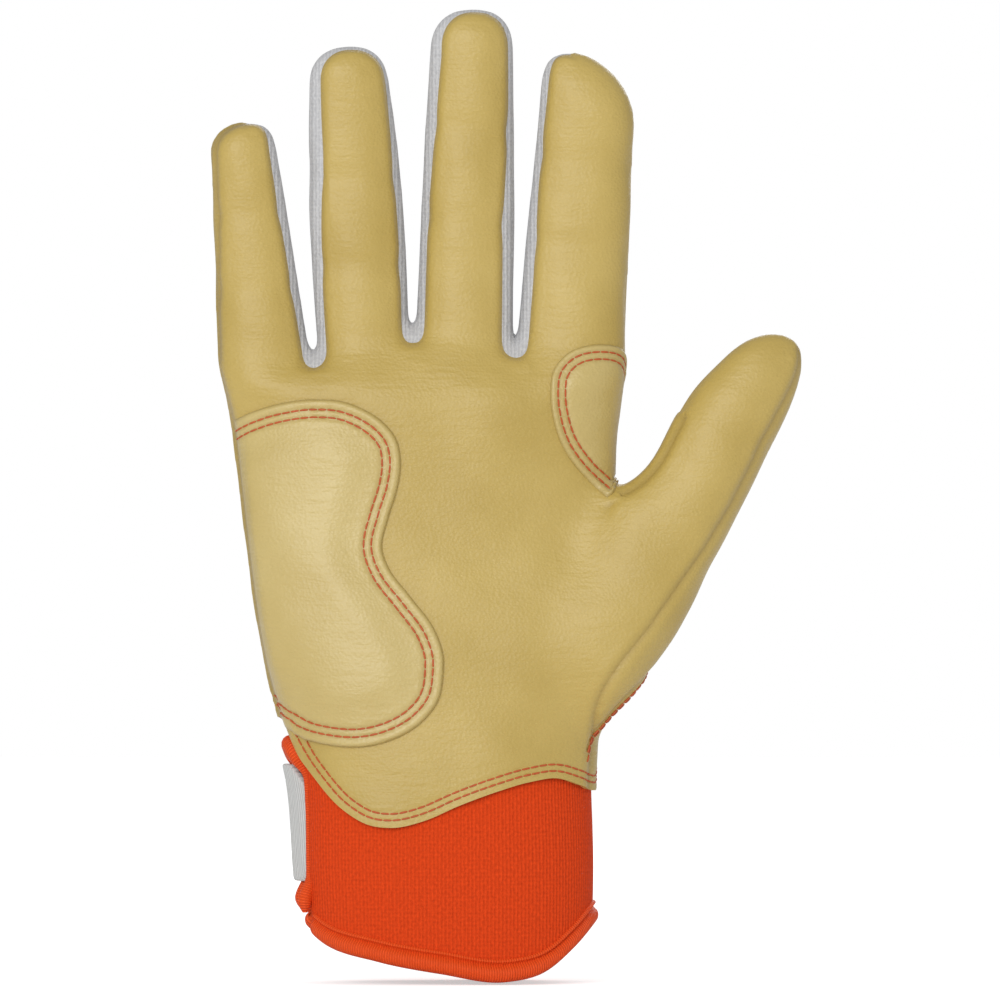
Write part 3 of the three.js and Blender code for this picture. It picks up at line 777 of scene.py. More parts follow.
@dataclass(frozen=True)
class Knit(Finish):
    """Knitted polyester jersey: matt, with upright wales of small loops.

    The eye sees fine ribs with a speckle of loops; real wales are finer and drawn a few pixels
    wide to show.
    """

    wale_mm: float = 1.3
    course_mm: float = 1.0
    fluff_mm: float = 0.8
    depth: float = 0.0003
    course_share: float = 0.3
    loop_share: float = 0.25
    tone_span: Pair = (0.4, 0.95)
    gloss: float = 0.12
    ior: float = 1.5

    def build(self) -> Material:
        """Returns the knit."""
        material, tree, place = self.start()
        wave = {"wave_type": "BANDS", "Scale": 1.0}
        wave |= {"Distortion": 2.0, "Detail": 2.0, "Detail Scale": 2.0}
        ribs = {}
        for direction, size in (("X", self.wale_mm), ("Z", self.course_mm)):
            scale = tuple(BAND_PERIOD * per_size(size) for _ in range(3))
            lay = add_node(tree, "ShaderNodeMapping", {"Scale": scale}, {"Vector": place})
            settings = {**wave, "bands_direction": direction}
            bands = add_node(tree, "ShaderNodeTexWave", settings, {"Vector": lay.outputs[0]})
            ribs[direction] = bands.outputs["Fac"]
        share = {"operation": "MULTIPLY_ADD", 1: self.course_share}
        loops = add_node(tree, "ShaderNodeMath", share, {0: ribs["Z"], 2: ribs["X"]})
        fine = {"Scale": per_size(self.fluff_mm), "Detail": 2.0}
        fluff = add_node(tree, "ShaderNodeTexNoise", fine, {"Vector": place})
        share = {"operation": "MULTIPLY_ADD", 1: self.loop_share}
        both = {0: loops.outputs[0], 2: fluff.outputs["Fac"]}
        mixed = add_node(tree, "ShaderNodeMath", share, both)
        low, high = self.tone_span
        span = {"From Min": low, "From Max": high, "To Min": 1.0, "To Max": 0.0}
        tone = add_node(tree, "ShaderNodeMapRange", span, {"Value": mixed.outputs[0]})
        relief = {"Height": loops.outputs[0]}
        bump = add_node(tree, "ShaderNodeBump", {"Distance": self.depth}, relief)
        links = {"Base Color": self.tones(tree, tone.outputs["Result"])}
        links["Normal"] = bump.outputs["Normal"]
        matt = {"Roughness": self.roughness, "Specular IOR Level": self.gloss}
        self.end(tree, {"IOR": self.ior, **matt}, links)
        return material


@dataclass(frozen=True)
class Woven(Finish):
    """Woven nylon, as narrow tape or webbing: ribs across its length and a satin gleam on them."""

    rib_mm: float = 0.75
    thread_mm: float = 1.4
    depth: float = 0.00022
    tone_span: Pair = (0.0, 0.6)
    gloss: float = 0.15
    ior: float = 1.53

    def build(self) -> Material:
        """Returns the weave."""
        material, tree, place = self.start()
        scale = tuple(BAND_PERIOD * per_size(self.rib_mm) for _ in range(3))
        lay = add_node(tree, "ShaderNodeMapping", {"Scale": scale}, {"Vector": place})
        wave = {"bands_direction": "X", "Scale": 1.0, "Distortion": 0.6, "Detail": 1.0}
        rib = add_node(tree, "ShaderNodeTexWave", wave, {"Vector": lay.outputs[0]})
        fine = {"Scale": per_size(self.thread_mm), "Detail": 2.0}
        thread = add_node(tree, "ShaderNodeTexNoise", fine, {"Vector": place})
        both = {0: rib.outputs["Fac"], 1: thread.outputs["Fac"]}
        mixed = add_node(tree, "ShaderNodeMath", {"operation": "MULTIPLY"}, both)
        low, high = self.tone_span
        span = {"From Min": low, "From Max": high, "To Min": 1.0, "To Max": 0.0}
        tone = add_node(tree, "ShaderNodeMapRange", span, {"Value": mixed.outputs[0]})
        relief = {"Height": rib.outputs["Fac"]}
        bump = add_node(tree, "ShaderNodeBump", {"Distance": self.depth}, relief)
        links = {"Base Color": self.tones(tree, tone.outputs["Result"])}
        links["Normal"] = bump.outputs["Normal"]
        satin = {"Roughness": self.roughness, "Specular IOR Level": self.gloss}
        self.end(tree, {"IOR": self.ior, **satin}, links)
        return material


@dataclass(frozen=True)
class Pile(Finish):
    """Fastening tape: a field of nylon hooks or brushed loops, seen as a matt speckle in relief."""

    tuft_mm: float = 1.2
    depth: float = 0.0005
    fuzz: float = 0.3
    ior: float = 1.53

    def build(self) -> Material:
        """Returns the pile."""
        material, tree, place = self.start()
        cells = {"Scale": per_size(self.tuft_mm)}
        tuft = add_node(tree, "ShaderNodeTexVoronoi", cells, {"Vector": place})
        relief = {"Height": tuft.outputs["Distance"]}
        bump = add_node(tree, "ShaderNodeBump", {"Distance": self.depth, "invert": True}, relief)
        links = {"Base Color": self.tones(tree, tuft.outputs["Distance"])}
        links["Normal"] = bump.outputs["Normal"]
        matt = {"Roughness": self.roughness, "Sheen Weight": self.fuzz}
        self.end(tree, {"IOR": self.ior, **matt}, links)
        return material


@dataclass(frozen=True)
class Sewing(Finish):
    """Bonded polyester sewing thread: smooth, with a small bright gleam on each stitch."""

    shift_mm: float = 3
    ior: float = 1.55

    def build(self) -> Material:
        """Returns the thread; its twist is too fine to see, so only slow shifts of tone show."""
        material, tree, place = self.start()
        slow = {"Scale": per_size(self.shift_mm)}
        shift = add_node(tree, "ShaderNodeTexNoise", slow, {"Vector": place})
        links = {"Base Color": self.tones(tree, shift.outputs["Fac"])}
        self.end(tree, {"IOR": self.ior, "Roughness": self.roughness}, links)
        return material


GOLD_LEATHER = Leather("dyed sheepskin, gold", "#c4a957", "#b89c46", 0.5)
# The doubled leather's paler, whiter colour is partly its own tone and partly painted sheen
PATCH_LEATHER = Leather("dyed sheepskin, gold, doubled", "#ccb673", "#c3ab64", 0.45)
GREY_KNIT = Knit("stretch jersey, grey", "#d0d0d1", "#b8b8ba", 0.85, wale_mm=0.9, depth=0.00012)
CUFF_KNIT = Knit(
    "neoprene faced with jersey, orange", "#e84a18", "#c83c10", 0.8, wale_mm=0.95, depth=0.00014
)
BINDING_TAPE = Woven("satin binding tape, orange", "#ff5e26", "#e24c18", 0.45, rib_mm=0.6)
WEBBING = Woven("nylon webbing, pale grey", "#dcdddb", "#cbccca", 0.6, rib_mm=1.1)
HOOKS = Pile("moulded nylon hooks, grey", "#a9aaa8", "#8e908e", 0.6, tuft_mm=1.3)
LOOPS = Pile("brushed nylon loops, orange", "#c8441a", "#a83612", 0.9, tuft_mm=0.9)
THREAD = Sewing("bonded polyester thread, orange", "#cd5c28", "#b04e1e", 0.6)


# Forms of the hand


@dataclass(frozen=True)
class Digit:
    """One stall: an oval tube with a rounded tip, leaning aside and curled towards the palm."""

    name: str
    body: str
    root: Triple
    length: float
    splay: float
    cap: float
    tip_shift: float
    curl: float
    width: Triple
    depth: Triple
    crease: float
    dents: tuple[float, ...]
    left_seam: Line
    right_seam: Line
    tip_seam: float
    start: float = -13
    root_draw: float = 0.3
    flow: float = 4
    flow_from: float = -60
    flow_grown: float = 40
    flow_least: float = 0.25
    flow_end: Pair = (36, 48)
    flow_lost: float = 0.85
    bend_reach: float = 11
    web_flare: float = 0
    web_at: float = 0
    web_fade: float = 19.5
    heel_draw: float = 0
    heel_span: Pair = (16, -6)
    squareness: float = 2.3
    past_tip: float = 1.05

    @property
    def along(self) -> Array:
        """Direction from root to tip."""
        lean = math.radians(self.splay)
        return np.array([math.sin(lean), 0, math.cos(lean)])

    @property
    def across(self) -> Array:
        """Direction towards the thumb side."""
        lean = math.radians(self.splay)
        return np.array([math.cos(lean), 0, -math.sin(lean)])

    @property
    def stall_start(self) -> float:
        """Place along the digit where its own panels begin."""
        return self.crease - self.bend_reach

    def local(self, points: Array) -> tuple[Array, Array, Array]:
        """Places along, across and behind the digit's middle line.

        Args:
            points: Points of the glove.

        Returns:
            The three distances of each point.
        """
        offset = points - np.array(self.root)
        s = offset @ self.along
        tip = np.clip((s - self.length + self.cap) / self.cap, 0, 1)
        u = offset @ self.across - self.tip_shift * tip**2
        v = offset[:, 1] + self.curl * (np.maximum(s, 0) / self.length) ** 2
        return s, u, v

    def drawn_in(self, s: Array) -> Array:
        """Share of its size that the digit keeps inside the hand."""
        return 1 - self.root_draw * (np.clip(-s, 0, -self.start) / -self.start) ** 1.5

    def share(self, s: Array) -> Array:
        """Share of the digit's length, held just past its tip."""
        return np.clip(s / self.length, 0, self.past_tip)

    def flow_at(self, points: Array) -> Array:
        """How widely the digit flows into the hand: little at its heel, and hardly past the webs.

        Args:
            points: Points to look at.

        Returns:
            The width at each point.
        """
        s = (points - np.array(self.root)) @ self.along
        grown = smoothstep(self.flow_from, self.flow_from + self.flow_grown, s)
        reach = self.flow * (self.flow_least + (1 - self.flow_least) * grown)
        return reach * (1 - self.flow_lost * smoothstep(*self.flow_end, s))

    def half_width(self, s: Array, u: Array) -> Array:
        """Half width on the side that a point is on.

        Args:
            s: Place along the digit.
            u: Place across it; below zero is the little-finger side.

        Returns:
            The half width there.
        """
        fade = np.clip(1 - (s - self.web_at) / self.web_fade, 0, 1) ** 3
        heel = -self.heel_draw * smoothstep(*self.heel_span, s)
        side = np.where(u < 0, self.web_flare * fade, heel)
        return through_three(self.width, self.share(s)) * self.drawn_in(s) + side

    def field(self, points: Array) -> Array:
        """Distance to the stall's surface, near enough close to it.

        Args:
            points: Points to look at.

        Returns:
            The distance of each point, negative inside.
        """
        s, u, v = self.local(points)
        wide = self.half_width(s, u)
        deep = through_three(self.depth, self.share(s)) * self.drawn_in(s)
        power = self.squareness
        a, b = np.abs(u) / wide + OFF_AXIS, np.abs(v) / deep + OFF_AXIS
        c = np.maximum((s - self.length + self.cap) / self.cap, 0)
        ring = (a**power + b**power) ** (1 / power)
        whole = (ring**power + c**power) ** (1 / power)
        inward = (ring / whole) ** (power - 1)
        steep_u = inward * (a / ring) ** (power - 1) / wide
        steep_v = inward * (b / ring) ** (power - 1) / deep
        steep_s = (c / whole) ** (power - 1) / self.cap
        distance = (whole - 1) / np.sqrt(steep_u**2 + steep_v**2 + steep_s**2)
        return np.maximum(distance, self.start - s)

    def core(self) -> Array:
        """Returns the outline of the front and back panels inside their seams."""
        cap = self.cap - self.tip_seam
        foot = self.length - self.cap
        turns = np.linspace(0.08, math.pi / 2, 20)
        s = np.concatenate([np.linspace(self.start, foot, 40), foot + cap * np.sin(turns)])
        tip = np.clip((s - foot) / cap, 0, 1)
        draw = (1 - tip**self.squareness) ** (1 / self.squareness)
        left = (self.half_width(s, -np.ones_like(s)) - np.interp(s, *zip(*self.left_seam))) * draw
        right = (self.half_width(s, np.ones_like(s)) - np.interp(s, *zip(*self.right_seam))) * draw
        shift = self.tip_shift * tip**2
        middle = np.array(self.root) + s[:, None] * self.along
        left_edge = middle + (shift - left)[:, None] * self.across
        right_edge = middle + (shift + right)[:, None] * self.across
        return seen_from_palm(np.vstack([left_edge, right_edge[::-1]]))

    def bend(self) -> tuple[Vector, Vector]:
        """Returns the points in metres at either end of the stall's bend reach, round its crease.
        """
        middle = np.array(self.root) + self.crease * self.along
        reach = self.bend_reach * self.along
        return Vector((middle - reach) * MM), Vector((middle + reach) * MM)


@dataclass(frozen=True)
class HandForm:
    """Oval hand from the cuff to the knuckles: its reach to each side, by height."""

    heights: tuple[float, ...] = (-20, 27, 54, 66, 80, 100, 120, 140, 155)
    little: tuple[float, ...] = (37.2, 37.6, 39.2, 42.8, 46.4, 49.6, 52, 54.5, 57.3)
    thumb: tuple[float, ...] = (36.8, 36.8, 36.4, 37.2, 40.6, 43, 40.2, 41.0, 43.1)
    palm: tuple[float, ...] = (21.5, 21.5, 21.5, 20.5, 20, 18, 16, 15, 14)
    back: tuple[float, ...] = (21.5, 21.5, 21.5, 18.5, 16, 14.5, 13.5, 12.5, 11.5)
    web_x: tuple[float, ...] = (-33.7, -9.4, 15.9)
    web_lift: tuple[float, ...] = (0, 6, 2.5)
    rounding: float = 13
    squareness: float = 2.4
    knuckle_squareness: float = 3.6
    little_seam: float = 0.3
    thumb_seam: float = 1.7
    web_seam: float = 3.0

    @property
    def knuckles(self) -> float:
        """Height of the knuckles."""
        return self.heights[-1]

    def reach(self, x: Array, y: Array, z: Array) -> tuple[Array, Array]:
        """Half width and half depth on the side that a point is on.

        Args:
            x: Places across.
            y: Places behind.
            z: Heights.

        Returns:
            The half widths and half depths.
        """
        little, thumb, palm, back = (
            curve_at(self.heights, reach, z)
            for reach in (self.little, self.thumb, self.palm, self.back)
        )
        return np.where(x < 0, little, thumb), np.where(y < 0, palm, back)

    def field(self, points: Array) -> Array:
        """Distance to the hand's surface, near enough close to it.

        Args:
            points: Points to look at.

        Returns:
            The distance of each point, negative inside.
        """
        x, y, z = points.T
        foot = self.knuckles - self.rounding
        lift = np.interp(x, self.web_x, self.web_lift)
        z = z - lift * smoothstep(foot, self.knuckles + lift, z)
        wide, deep = self.reach(x, y, z)
        c = np.clip((z - foot) / self.rounding, 0, None)
        power = self.squareness + self.knuckle_squareness * smoothstep(0, 1, c)
        a, b = np.abs(x) / wide + OFF_AXIS, np.abs(y) / deep + OFF_AXIS
        arch = np.sqrt(b * b + c * c)
        whole = (a**power + arch**power) ** (1 / power)
        inward = (arch / whole) ** (power - 1)
        steep_x = (a / whole) ** (power - 1) / wide
        steep_y = inward * b / arch / deep
        steep_z = inward * c / arch / self.rounding
        return (whole - 1) / np.sqrt(steep_x**2 + steep_y**2 + steep_z**2)

    def core(self) -> Array:
        """Returns the outline of the palm and back between the side seams, up to the webs."""
        heights = np.linspace(self.heights[0], self.knuckles, 60)
        top = self.knuckles - self.web_seam
        left = self.little_seam - curve_at(self.heights, self.little, heights)
        right = curve_at(self.heights, self.thumb, heights) - self.thumb_seam
        held = np.minimum(heights, top)
        webs = np.stack([self.web_x, np.array(self.web_lift) + top], axis=1)
        left, right = (np.stack([edge, held], axis=1) for edge in (left, right))
        return np.vstack([left, webs, right[::-1]])


@dataclass
class Places:
    """Where points lie on the glove: the nearest digit, and how far away each seam is."""

    points: Array
    owner: Array
    s: Array
    u: Array
    v: Array
    stall: Array
    seam: Array
    thumb: Array
    hem: Array


@dataclass
class GloveBody:
    """Leather hand with its five stalls and the knitted strips between the fingers."""

    hand: HandForm = field(default_factory=HandForm)
    digits: tuple[Digit, ...] = (
        Digit(
            "little", "little_finger", root=(-46.3, 0, 155), length=58, splay=-5.5, cap=7.2,
            tip_shift=1.5, curl=3, width=(11.3, 9.55, 7.6), depth=(8.8, 8, 6.8), crease=12.08,
            dents=(16, 35), left_seam=((-13, 0.3), (14, 0.3), (28, 1.0), (58, 1.0)),
            right_seam=((0, 1.2), (40, 1.5), (50, 1.4), (58, 0.9)), tip_seam=0.3,
        ),
        Digit(
            "ring", "ring_finger", root=(-21.3, 0, 155), length=76.8, splay=-3, cap=8.7,
            tip_shift=0.2, curl=4, width=(11.1, 11.55, 9.05), depth=(9.5, 9, 7.8), crease=18.94,
            dents=(22, 44),
            left_seam=((0, 1.6), (18, 2), (33, 2.5), (50, 3.4), (60, 2.8), (76, 2.0)),
            right_seam=((0, 1.3), (50, 1.2), (65, 0.7)), tip_seam=0.8,
        ),
        Digit(
            "middle", "middle_finger", root=(3.4, 0, 155), length=86, splay=1.6, cap=10.2,
            tip_shift=0.5, curl=4, width=(11.95, 11.3, 9.9), depth=(9.8, 9.2, 8), crease=19.31,
            dents=(33, 56), left_seam=((0, 1.7), (33, 1.3), (56, 2), (74, 2.5), (86, 1.8)),
            right_seam=((0, 2.2), (33, 2.4), (48, 1.5), (63, 1)), tip_seam=0.7,
        ),
        Digit(
            "index", "index_finger", root=(29.8, 0, 155), length=75, splay=3.8, cap=17,
            tip_shift=-5, curl=4, width=(13.3, 12.4, 11.1), depth=(9.8, 9.2, 8), crease=15.81,
            dents=(27, 48), left_seam=((0, 2.4), (18, 2.2), (41, 1.3), (56, 1.1), (68, 1.6)),
            right_seam=((0, 1.7), (75, 1.7)), tip_seam=0.4,
        ),
        Digit(
            "thumb", "thumb", root=(39.4, -4.5, 79), length=92.2, splay=26.5, cap=34,
            tip_shift=4.1, curl=3, width=(11.4, 12.1, 11.8), depth=(12.5, 11.4, 9.4),
            crease=50.63, dents=(66,), left_seam=((36, 1.75), (61, 1.6), (66, 0.3), (92, 0.3)),
            right_seam=(
                (0, 7.4), (8, 7.1), (16, 6.5), (25, 5.1), (35, 3.4),
                (48, 2.3), (74, 2.2), (84, 1.4), (92, 1),
            ),
            tip_seam=0.4, start=-22, root_draw=0.62, flow=9, flow_from=-30, bend_reach=12.5,
            web_flare=6.7, web_at=37, heel_draw=2.4,
        ),
    )
    step: float = 1.0
    smooth_rounds: int = 5
    low: Triple = (-63, -26, 31)
    high: Triple = (92, 26, 246)
    leather: float = 1.0
    knit: float = 0.9
    seam_back: Line = ((60, 60), (50, 76), (45.5, 88), (43, 100), (40, 119), (65, 219))
    seam_side: Line = (
        (30, 46), (34, 57.8), (35.2, 62.2), (36.7, 67.5),
        (38.2, 71.3), (42.4, 74.8), (50, 78.5), (90, 104),
    )
    palm_hem: Line = (
        (-60, 76), (-48, 69), (-42, 64.5), (-39.4, 59.5), (-37, 55), (-33, 49.6),
        (-26, 42.3), (-20, 38.9), (-14, 38.2), (-6, 40), (2, 43.5), (12, 47.2),
        (20, 49.5), (27, 50.3), (31, 49), (35, 47.4), (60, 47),
    )
    back_hem: Line = (
        (-60, 76), (-48, 69), (-42, 65), (-34, 59), (-18, 56.5),
        (24, 56.5), (32, 54), (38, 48.2), (60, 47),
    )
    # Heights, and where the thumb parts from the palm there
    thumb_split: Line = ((0, 0), (110, 0), (119, 40), (219, 65))
    crotch_height: float = 119
    thumb_ball: float = 30
    # Place across and height past which a point is the thumb's
    thumb_from: Pair = (38, 100)
    # Depths between which the palm side turns into the back
    turn_over: Pair = (-5, 5)
    # Limits of the panels that wrap round the hand's sides
    wrap_side: float = 20
    index_wrap: Pair = (2.5, 112)
    little_side: float = -46
    web_height: float = 140
    thumb_pad: Pair = (63, 3)
    seam_flow: float = 3.5
    seam_margin: float = 1.5
    seam_levels: tuple[float, ...] = (-1.6, -0.7, 0.7, 1.6)
    groove_depth: float = 0.5
    groove_width: float = 0.8
    tip_groove: float = 0.7
    tip_area: Pair = (40, 6)
    ridge: Triple = (0.15, 2.0, 1.0)
    hem_rows: Pair = (1.8, 3.4)
    hem_edges: Pair = (0.5, 4.4)
    hem_dent: Pair = (0.22, 0.5)
    ball_rows: Pair = (-1.2, -2.8)
    ball_edge: float = 0.7
    ball_area: Pair = (25, 121)
    ball_strip: float = 104
    ball_eased: Pair = (76, 90)
    ball_rounds: tuple[int, int] = (12, 200)
    ball_pull: float = 0.5
    # Rolled edge of the thumb's front: height, place and width, and where it comes and goes
    thumb_roll: Triple = (0.5, 1.1, 0.8)
    roll_comes: Pair = (20, 34)
    roll_goes: Pair = (68, 60)
    roll_depth: float = 3
    # Place across, height, width, length and rise of each mound of the palm
    mounds: tuple[tuple[float, float, float, float, float], ...] = (
        (38, 84, 20, 26, 1.8),
        (18, 111, 16, 20, -1.3),
        (18, 142, 14, 9, 0.6),
        (-6, 146, 12, 8, 0.5),
    )
    mound_facing: Pair = (-3, -12)
    joint_dent: Pair = (0.4, 3.2)
    joint_lean: float = 0.06
    joint_facing: float = -4
    # Slack in the leather: shallow waves that die out at the seams
    slack_seed: int = 7
    slack_waves: int = 9
    slack_length: Pair = (14, 34)
    slack_height: float = 0.07
    slack_fade: Pair = (0.3, 5)
    # Painted shade along the sewn seams and the thumb ball's groove: strengths and width
    seam_shade: float = 0.4
    ball_shade: float = 0.3
    shade_width: float = 0.6

    def field(self, points: Array) -> Array:
        """Distance to the surface: each digit flows into the hand, but not into its neighbour.

        Args:
            points: Points to look at.

        Returns:
            The distance of each point, negative inside.
        """
        hand = self.hand.field(points)
        joined = []
        for digit in self.digits:
            joined.append(smooth_min(hand, digit.field(points), digit.flow_at(points)))
        return np.min(joined, axis=0)

    def places(self, points: Array) -> Places:
        """Finds where points lie.

        Args:
            points: Points on the glove's surface.

        Returns:
            Their places.
        """
        x, y, z = points.T
        across, heights = zip(*self.seam_back)
        back_x = np.interp(z, heights, across)
        side_z = np.interp(x, *zip(*self.seam_side))
        split_x = np.interp(z, *zip(*self.thumb_split))
        behind = smoothstep(*self.turn_over, y)
        thumb = np.minimum(z - side_z, x - split_x) * (1 - behind) + (x - back_x) * behind
        fields = np.stack([digit.field(points) for digit in self.digits])
        owner = np.argmin(fields[:THUMB], axis=0)
        past_ball = x > split_x + self.thumb_ball * (z < self.crotch_height)
        from_x, from_z = self.thumb_from
        past_root = (x - split_x > 0) & (z > from_z) & (x > from_x)
        owner = np.where(past_ball | past_root, THUMB, owner)
        local = np.stack([np.stack(digit.local(points)) for digit in self.digits])
        s, u, v = local[owner, :, np.arange(len(points))].T
        stall = s - np.array([digit.stall_start for digit in self.digits])[owner]
        flat = seen_from_palm(points)
        seam = depth_in(self.hand.core(), flat)
        for digit in self.digits:
            seam = smooth_min(seam, depth_in(digit.core(), flat), self.seam_flow)
        v = np.where(stall > 0, v, y)
        return Places(points, owner, s, u, v, stall, seam, thumb, self.above_hem(points))

    def above_hem(self, points: Array) -> Array:
        """Distance above the leather's hem, negative below it.

        Args:
            points: Points on the glove's surface.

        Returns:
            The signed distance of each point.
        """
        flat = seen_from_palm(points)
        heights = []
        for hem in (self.palm_hem, self.back_hem):
            line = line_through(hem)
            sign = np.sign(flat[:, 1] - np.interp(flat[:, 0], line[:, 0], line[:, 1]))
            heights.append(sign * distance_to(line, flat))
        behind = smoothstep(*self.turn_over, points[:, 1])
        return heights[0] * (1 - behind) + heights[1] * behind

    def seams(self, at: Places) -> Array:
        """Tells where the line round the panels is sewn, not just the turn of a wrapping panel.

        Args:
            at: Places to look at.

        Returns:
            True where two panels meet there.
        """
        x, _, z = at.points.T
        on_hand = at.stall <= 0
        on_side = on_hand & (x > self.wrap_side)
        past_thumb, above = self.index_wrap
        index_wrap = (at.owner == INDEX) & (at.u > 0) & ~on_hand
        index_wrap |= on_side & (at.thumb < past_thumb) & (z > above)
        little_wrap = (at.owner == LITTLE) & (at.u < 0) & ~on_hand
        little_wrap |= on_hand & ((x < self.little_side) | ((x < 0) & (z < self.web_height)))
        thumb_wrap = (at.owner == THUMB) & ~on_hand
        thumb_wrap |= on_side & ((at.thumb > 0) | (z <= self.thumb_from[1]))
        along, across = self.thumb_pad
        thumb_pad = (at.owner == THUMB) & (at.s > along) & (at.u < across)
        return np.where(at.v < 0, ~(index_wrap | thumb_pad), ~(little_wrap | thumb_wrap))

    def panels(self, at: Places) -> Array:
        """Names the panel that each place belongs to.

        Args:
            at: Places to look at.

        Returns:
            The panels' names; empty below the hem.
        """
        x, _, z = at.points.T
        on_hand = at.stall <= 0
        core, front = at.seam < 0, at.v < 0
        between_fingers = on_hand & ~core & (z > self.web_height)
        rows = [
            (at.hem < 0, ""),
            (on_hand & core & front, "palm_leather"),
            (on_hand & core & (at.thumb > 0), "thumb_base_panel"),
            (on_hand & core, "back_leather"),
        ]
        for left, right in zip(self.digits[:INDEX], self.digits[1:THUMB]):
            web = between_fingers & (x > left.root[0]) & (x < right.root[0])
            rows.append((web, f"web_{left.name}_{right.name}"))
        rows += [
            (on_hand & (x < 0), "back_leather"),
            (on_hand & (at.thumb > 0), "thumb_base_panel"),
            (on_hand & (z > self.thumb_from[1]), "palm_leather"),
            (on_hand, "back_leather"),
        ]
        wraps = {
            LITTLE: (~core & (at.u < 0), "little_back"),
            INDEX: (~core & (at.u > 0), "index_front"),
            THUMB: (~core, "thumb_back"),
        }
        for number, digit in enumerate(self.digits):
            mine = at.owner == number
            if number in wraps:
                side, name = wraps[number]
                rows.append((mine & side, name))
            rows.append((mine & core & front, f"{digit.name}_front"))
            rows.append((mine & core, f"{digit.name}_back"))
            rows.append((mine, f"{digit.name}_fourchette"))
        return np.select([where for where, _ in rows], [name for _, name in rows], "")

    def grow_skin(self) -> Sheet:
        """Returns the smooth outside of the whole glove, with points along every seam."""
        axes = [np.arange(a, b, self.step) for a, b in zip(self.low, self.high)]
        grid = np.stack(np.meshgrid(*axes, indexing="ij"), axis=-1)
        values = self.field(grid.reshape(-1, 3)).reshape(grid.shape[:3])
        skin = surface_of(values, np.array(self.low), self.step)
        skin.smooth(self.smooth_rounds)
        at = self.places(skin.points)
        x, _, z = skin.points.T
        by_seam = at.seam > -self.seam_margin
        strip = (at.v >= 0) | (by_seam & (z < self.ball_strip))
        from_x, to_z = self.ball_area
        along, across = self.tip_area
        tip = np.isin(at.owner, (LITTLE, INDEX)) & (at.s > along) & (np.abs(at.u) < across)
        few, many = self.ball_rounds
        near_wrist = self.ball_pull * smoothstep(self.ball_eased[1], self.ball_eased[0], z)
        thumb = skin.evened(skin.evened(at.thumb[:, None], few), many, near_wrist)
        skin.values = {
            "core": at.seam,
            "sewn": self.seams(at).astype(float),
            "stall": at.stall,
            "thumb": thumb[:, 0],
            "ball": (strip & (z < to_z) & (x > from_x)).astype(float),
            "aside": at.u,
            "tip": (tip & by_seam).astype(float),
            "hem": at.hem,
        }
        (near, far), (first, last) = self.hem_edges, self.hem_rows
        for name, levels, where in (
            ("stall", (0,), ""),
            ("core", (0,), ""),
            ("hem", (0,), ""),
            ("aside", (0,), "tip"),
            ("thumb", (0,), "ball"),
            ("core", self.seam_levels, "sewn"),
            ("thumb", (*self.ball_rows, self.ball_edge), "ball"),
            ("hem", (near, first, (first + last) / 2, last, far), ""),
        ):
            for level in levels:
                skin.cut(name, level, where)
        return skin

    def dress_skin(self, skin: Sheet) -> None:
        """Works the skin: seams drawn in, dents at the finger joints, slack in the leather.

        Args:
            skin: The skin, whose points are moved.
        """
        at = self.places(skin.points)
        x, y, z = skin.points.T
        seam = np.where(skin.values["sewn"] > 0.5, skin.values["core"], NO_SEAM)
        tip = skin.values["tip"] * hump(skin.values["aside"], 0, self.groove_width)
        ball = skin.values["ball"] * hump(skin.values["thumb"], 0, self.groove_width)
        groove = [hump(seam, 0, self.groove_width), self.tip_groove * tip, ball]
        shift = -self.groove_depth * np.maximum.reduce(groove)
        high, aside, wide = self.ridge
        shift += high * hump(np.abs(seam), aside, wide)
        high, aside, wide = self.thumb_roll
        roll = (at.owner == THUMB) & (at.v < self.roll_depth) & (at.u < 0)
        length = smoothstep(*self.roll_goes, at.s) * smoothstep(*self.roll_comes, at.s)
        shift += high * roll * hump(seam, aside, wide) * length
        facing = smoothstep(*self.mound_facing, y)
        for across, up, wide, tall, high in self.mounds:
            shift += high * facing * hump(x, across, wide) * hump(z, up, tall)
        deep, wide = self.hem_dent
        for row in self.hem_rows:
            shift -= deep * hump(skin.values["hem"], row, wide)
        deep, wide = self.joint_dent
        for number, digit in enumerate(self.digits):
            facing = np.where(at.owner == number, smoothstep(0, self.joint_facing, at.v), 0)
            facing = facing * (at.stall > self.joint_facing)
            for dent in digit.dents:
                shift -= deep * facing * hump(at.s + self.joint_lean * at.u, dent, wide)
        waves = np.random.default_rng(self.slack_seed)
        loose = self.slack_height * smoothstep(*self.slack_fade, np.abs(seam))
        for _ in range(self.slack_waves):
            turn, phase = waves.uniform(0, 2 * math.pi, 2)
            length = waves.uniform(*self.slack_length)
            along = (x * math.cos(turn) + z * math.sin(turn)) * 2 * math.pi / length
            shift += loose * np.sin(along + phase)
        skin.points = skin.points + shift[:, None] * skin.normals()

    def sew(self, skin: Sheet) -> list[Piece]:
        """Parts the skin into its panels.

        Args:
            skin: The worked skin.

        Returns:
            The panels, one for each piece of leather or knit.
        """
        at = self.places(skin.middles())
        at.seam, at.stall = skin.on_faces("core"), skin.on_faces("stall")
        at.thumb, at.hem = skin.on_faces("thumb"), skin.on_faces("hem")
        at.u = np.where(skin.on_faces("tip") > 0.99, skin.on_faces("aside"), at.u)
        names = self.panels(at)
        normals = skin.normals()
        sewn = skin.values["sewn"] > 0.5
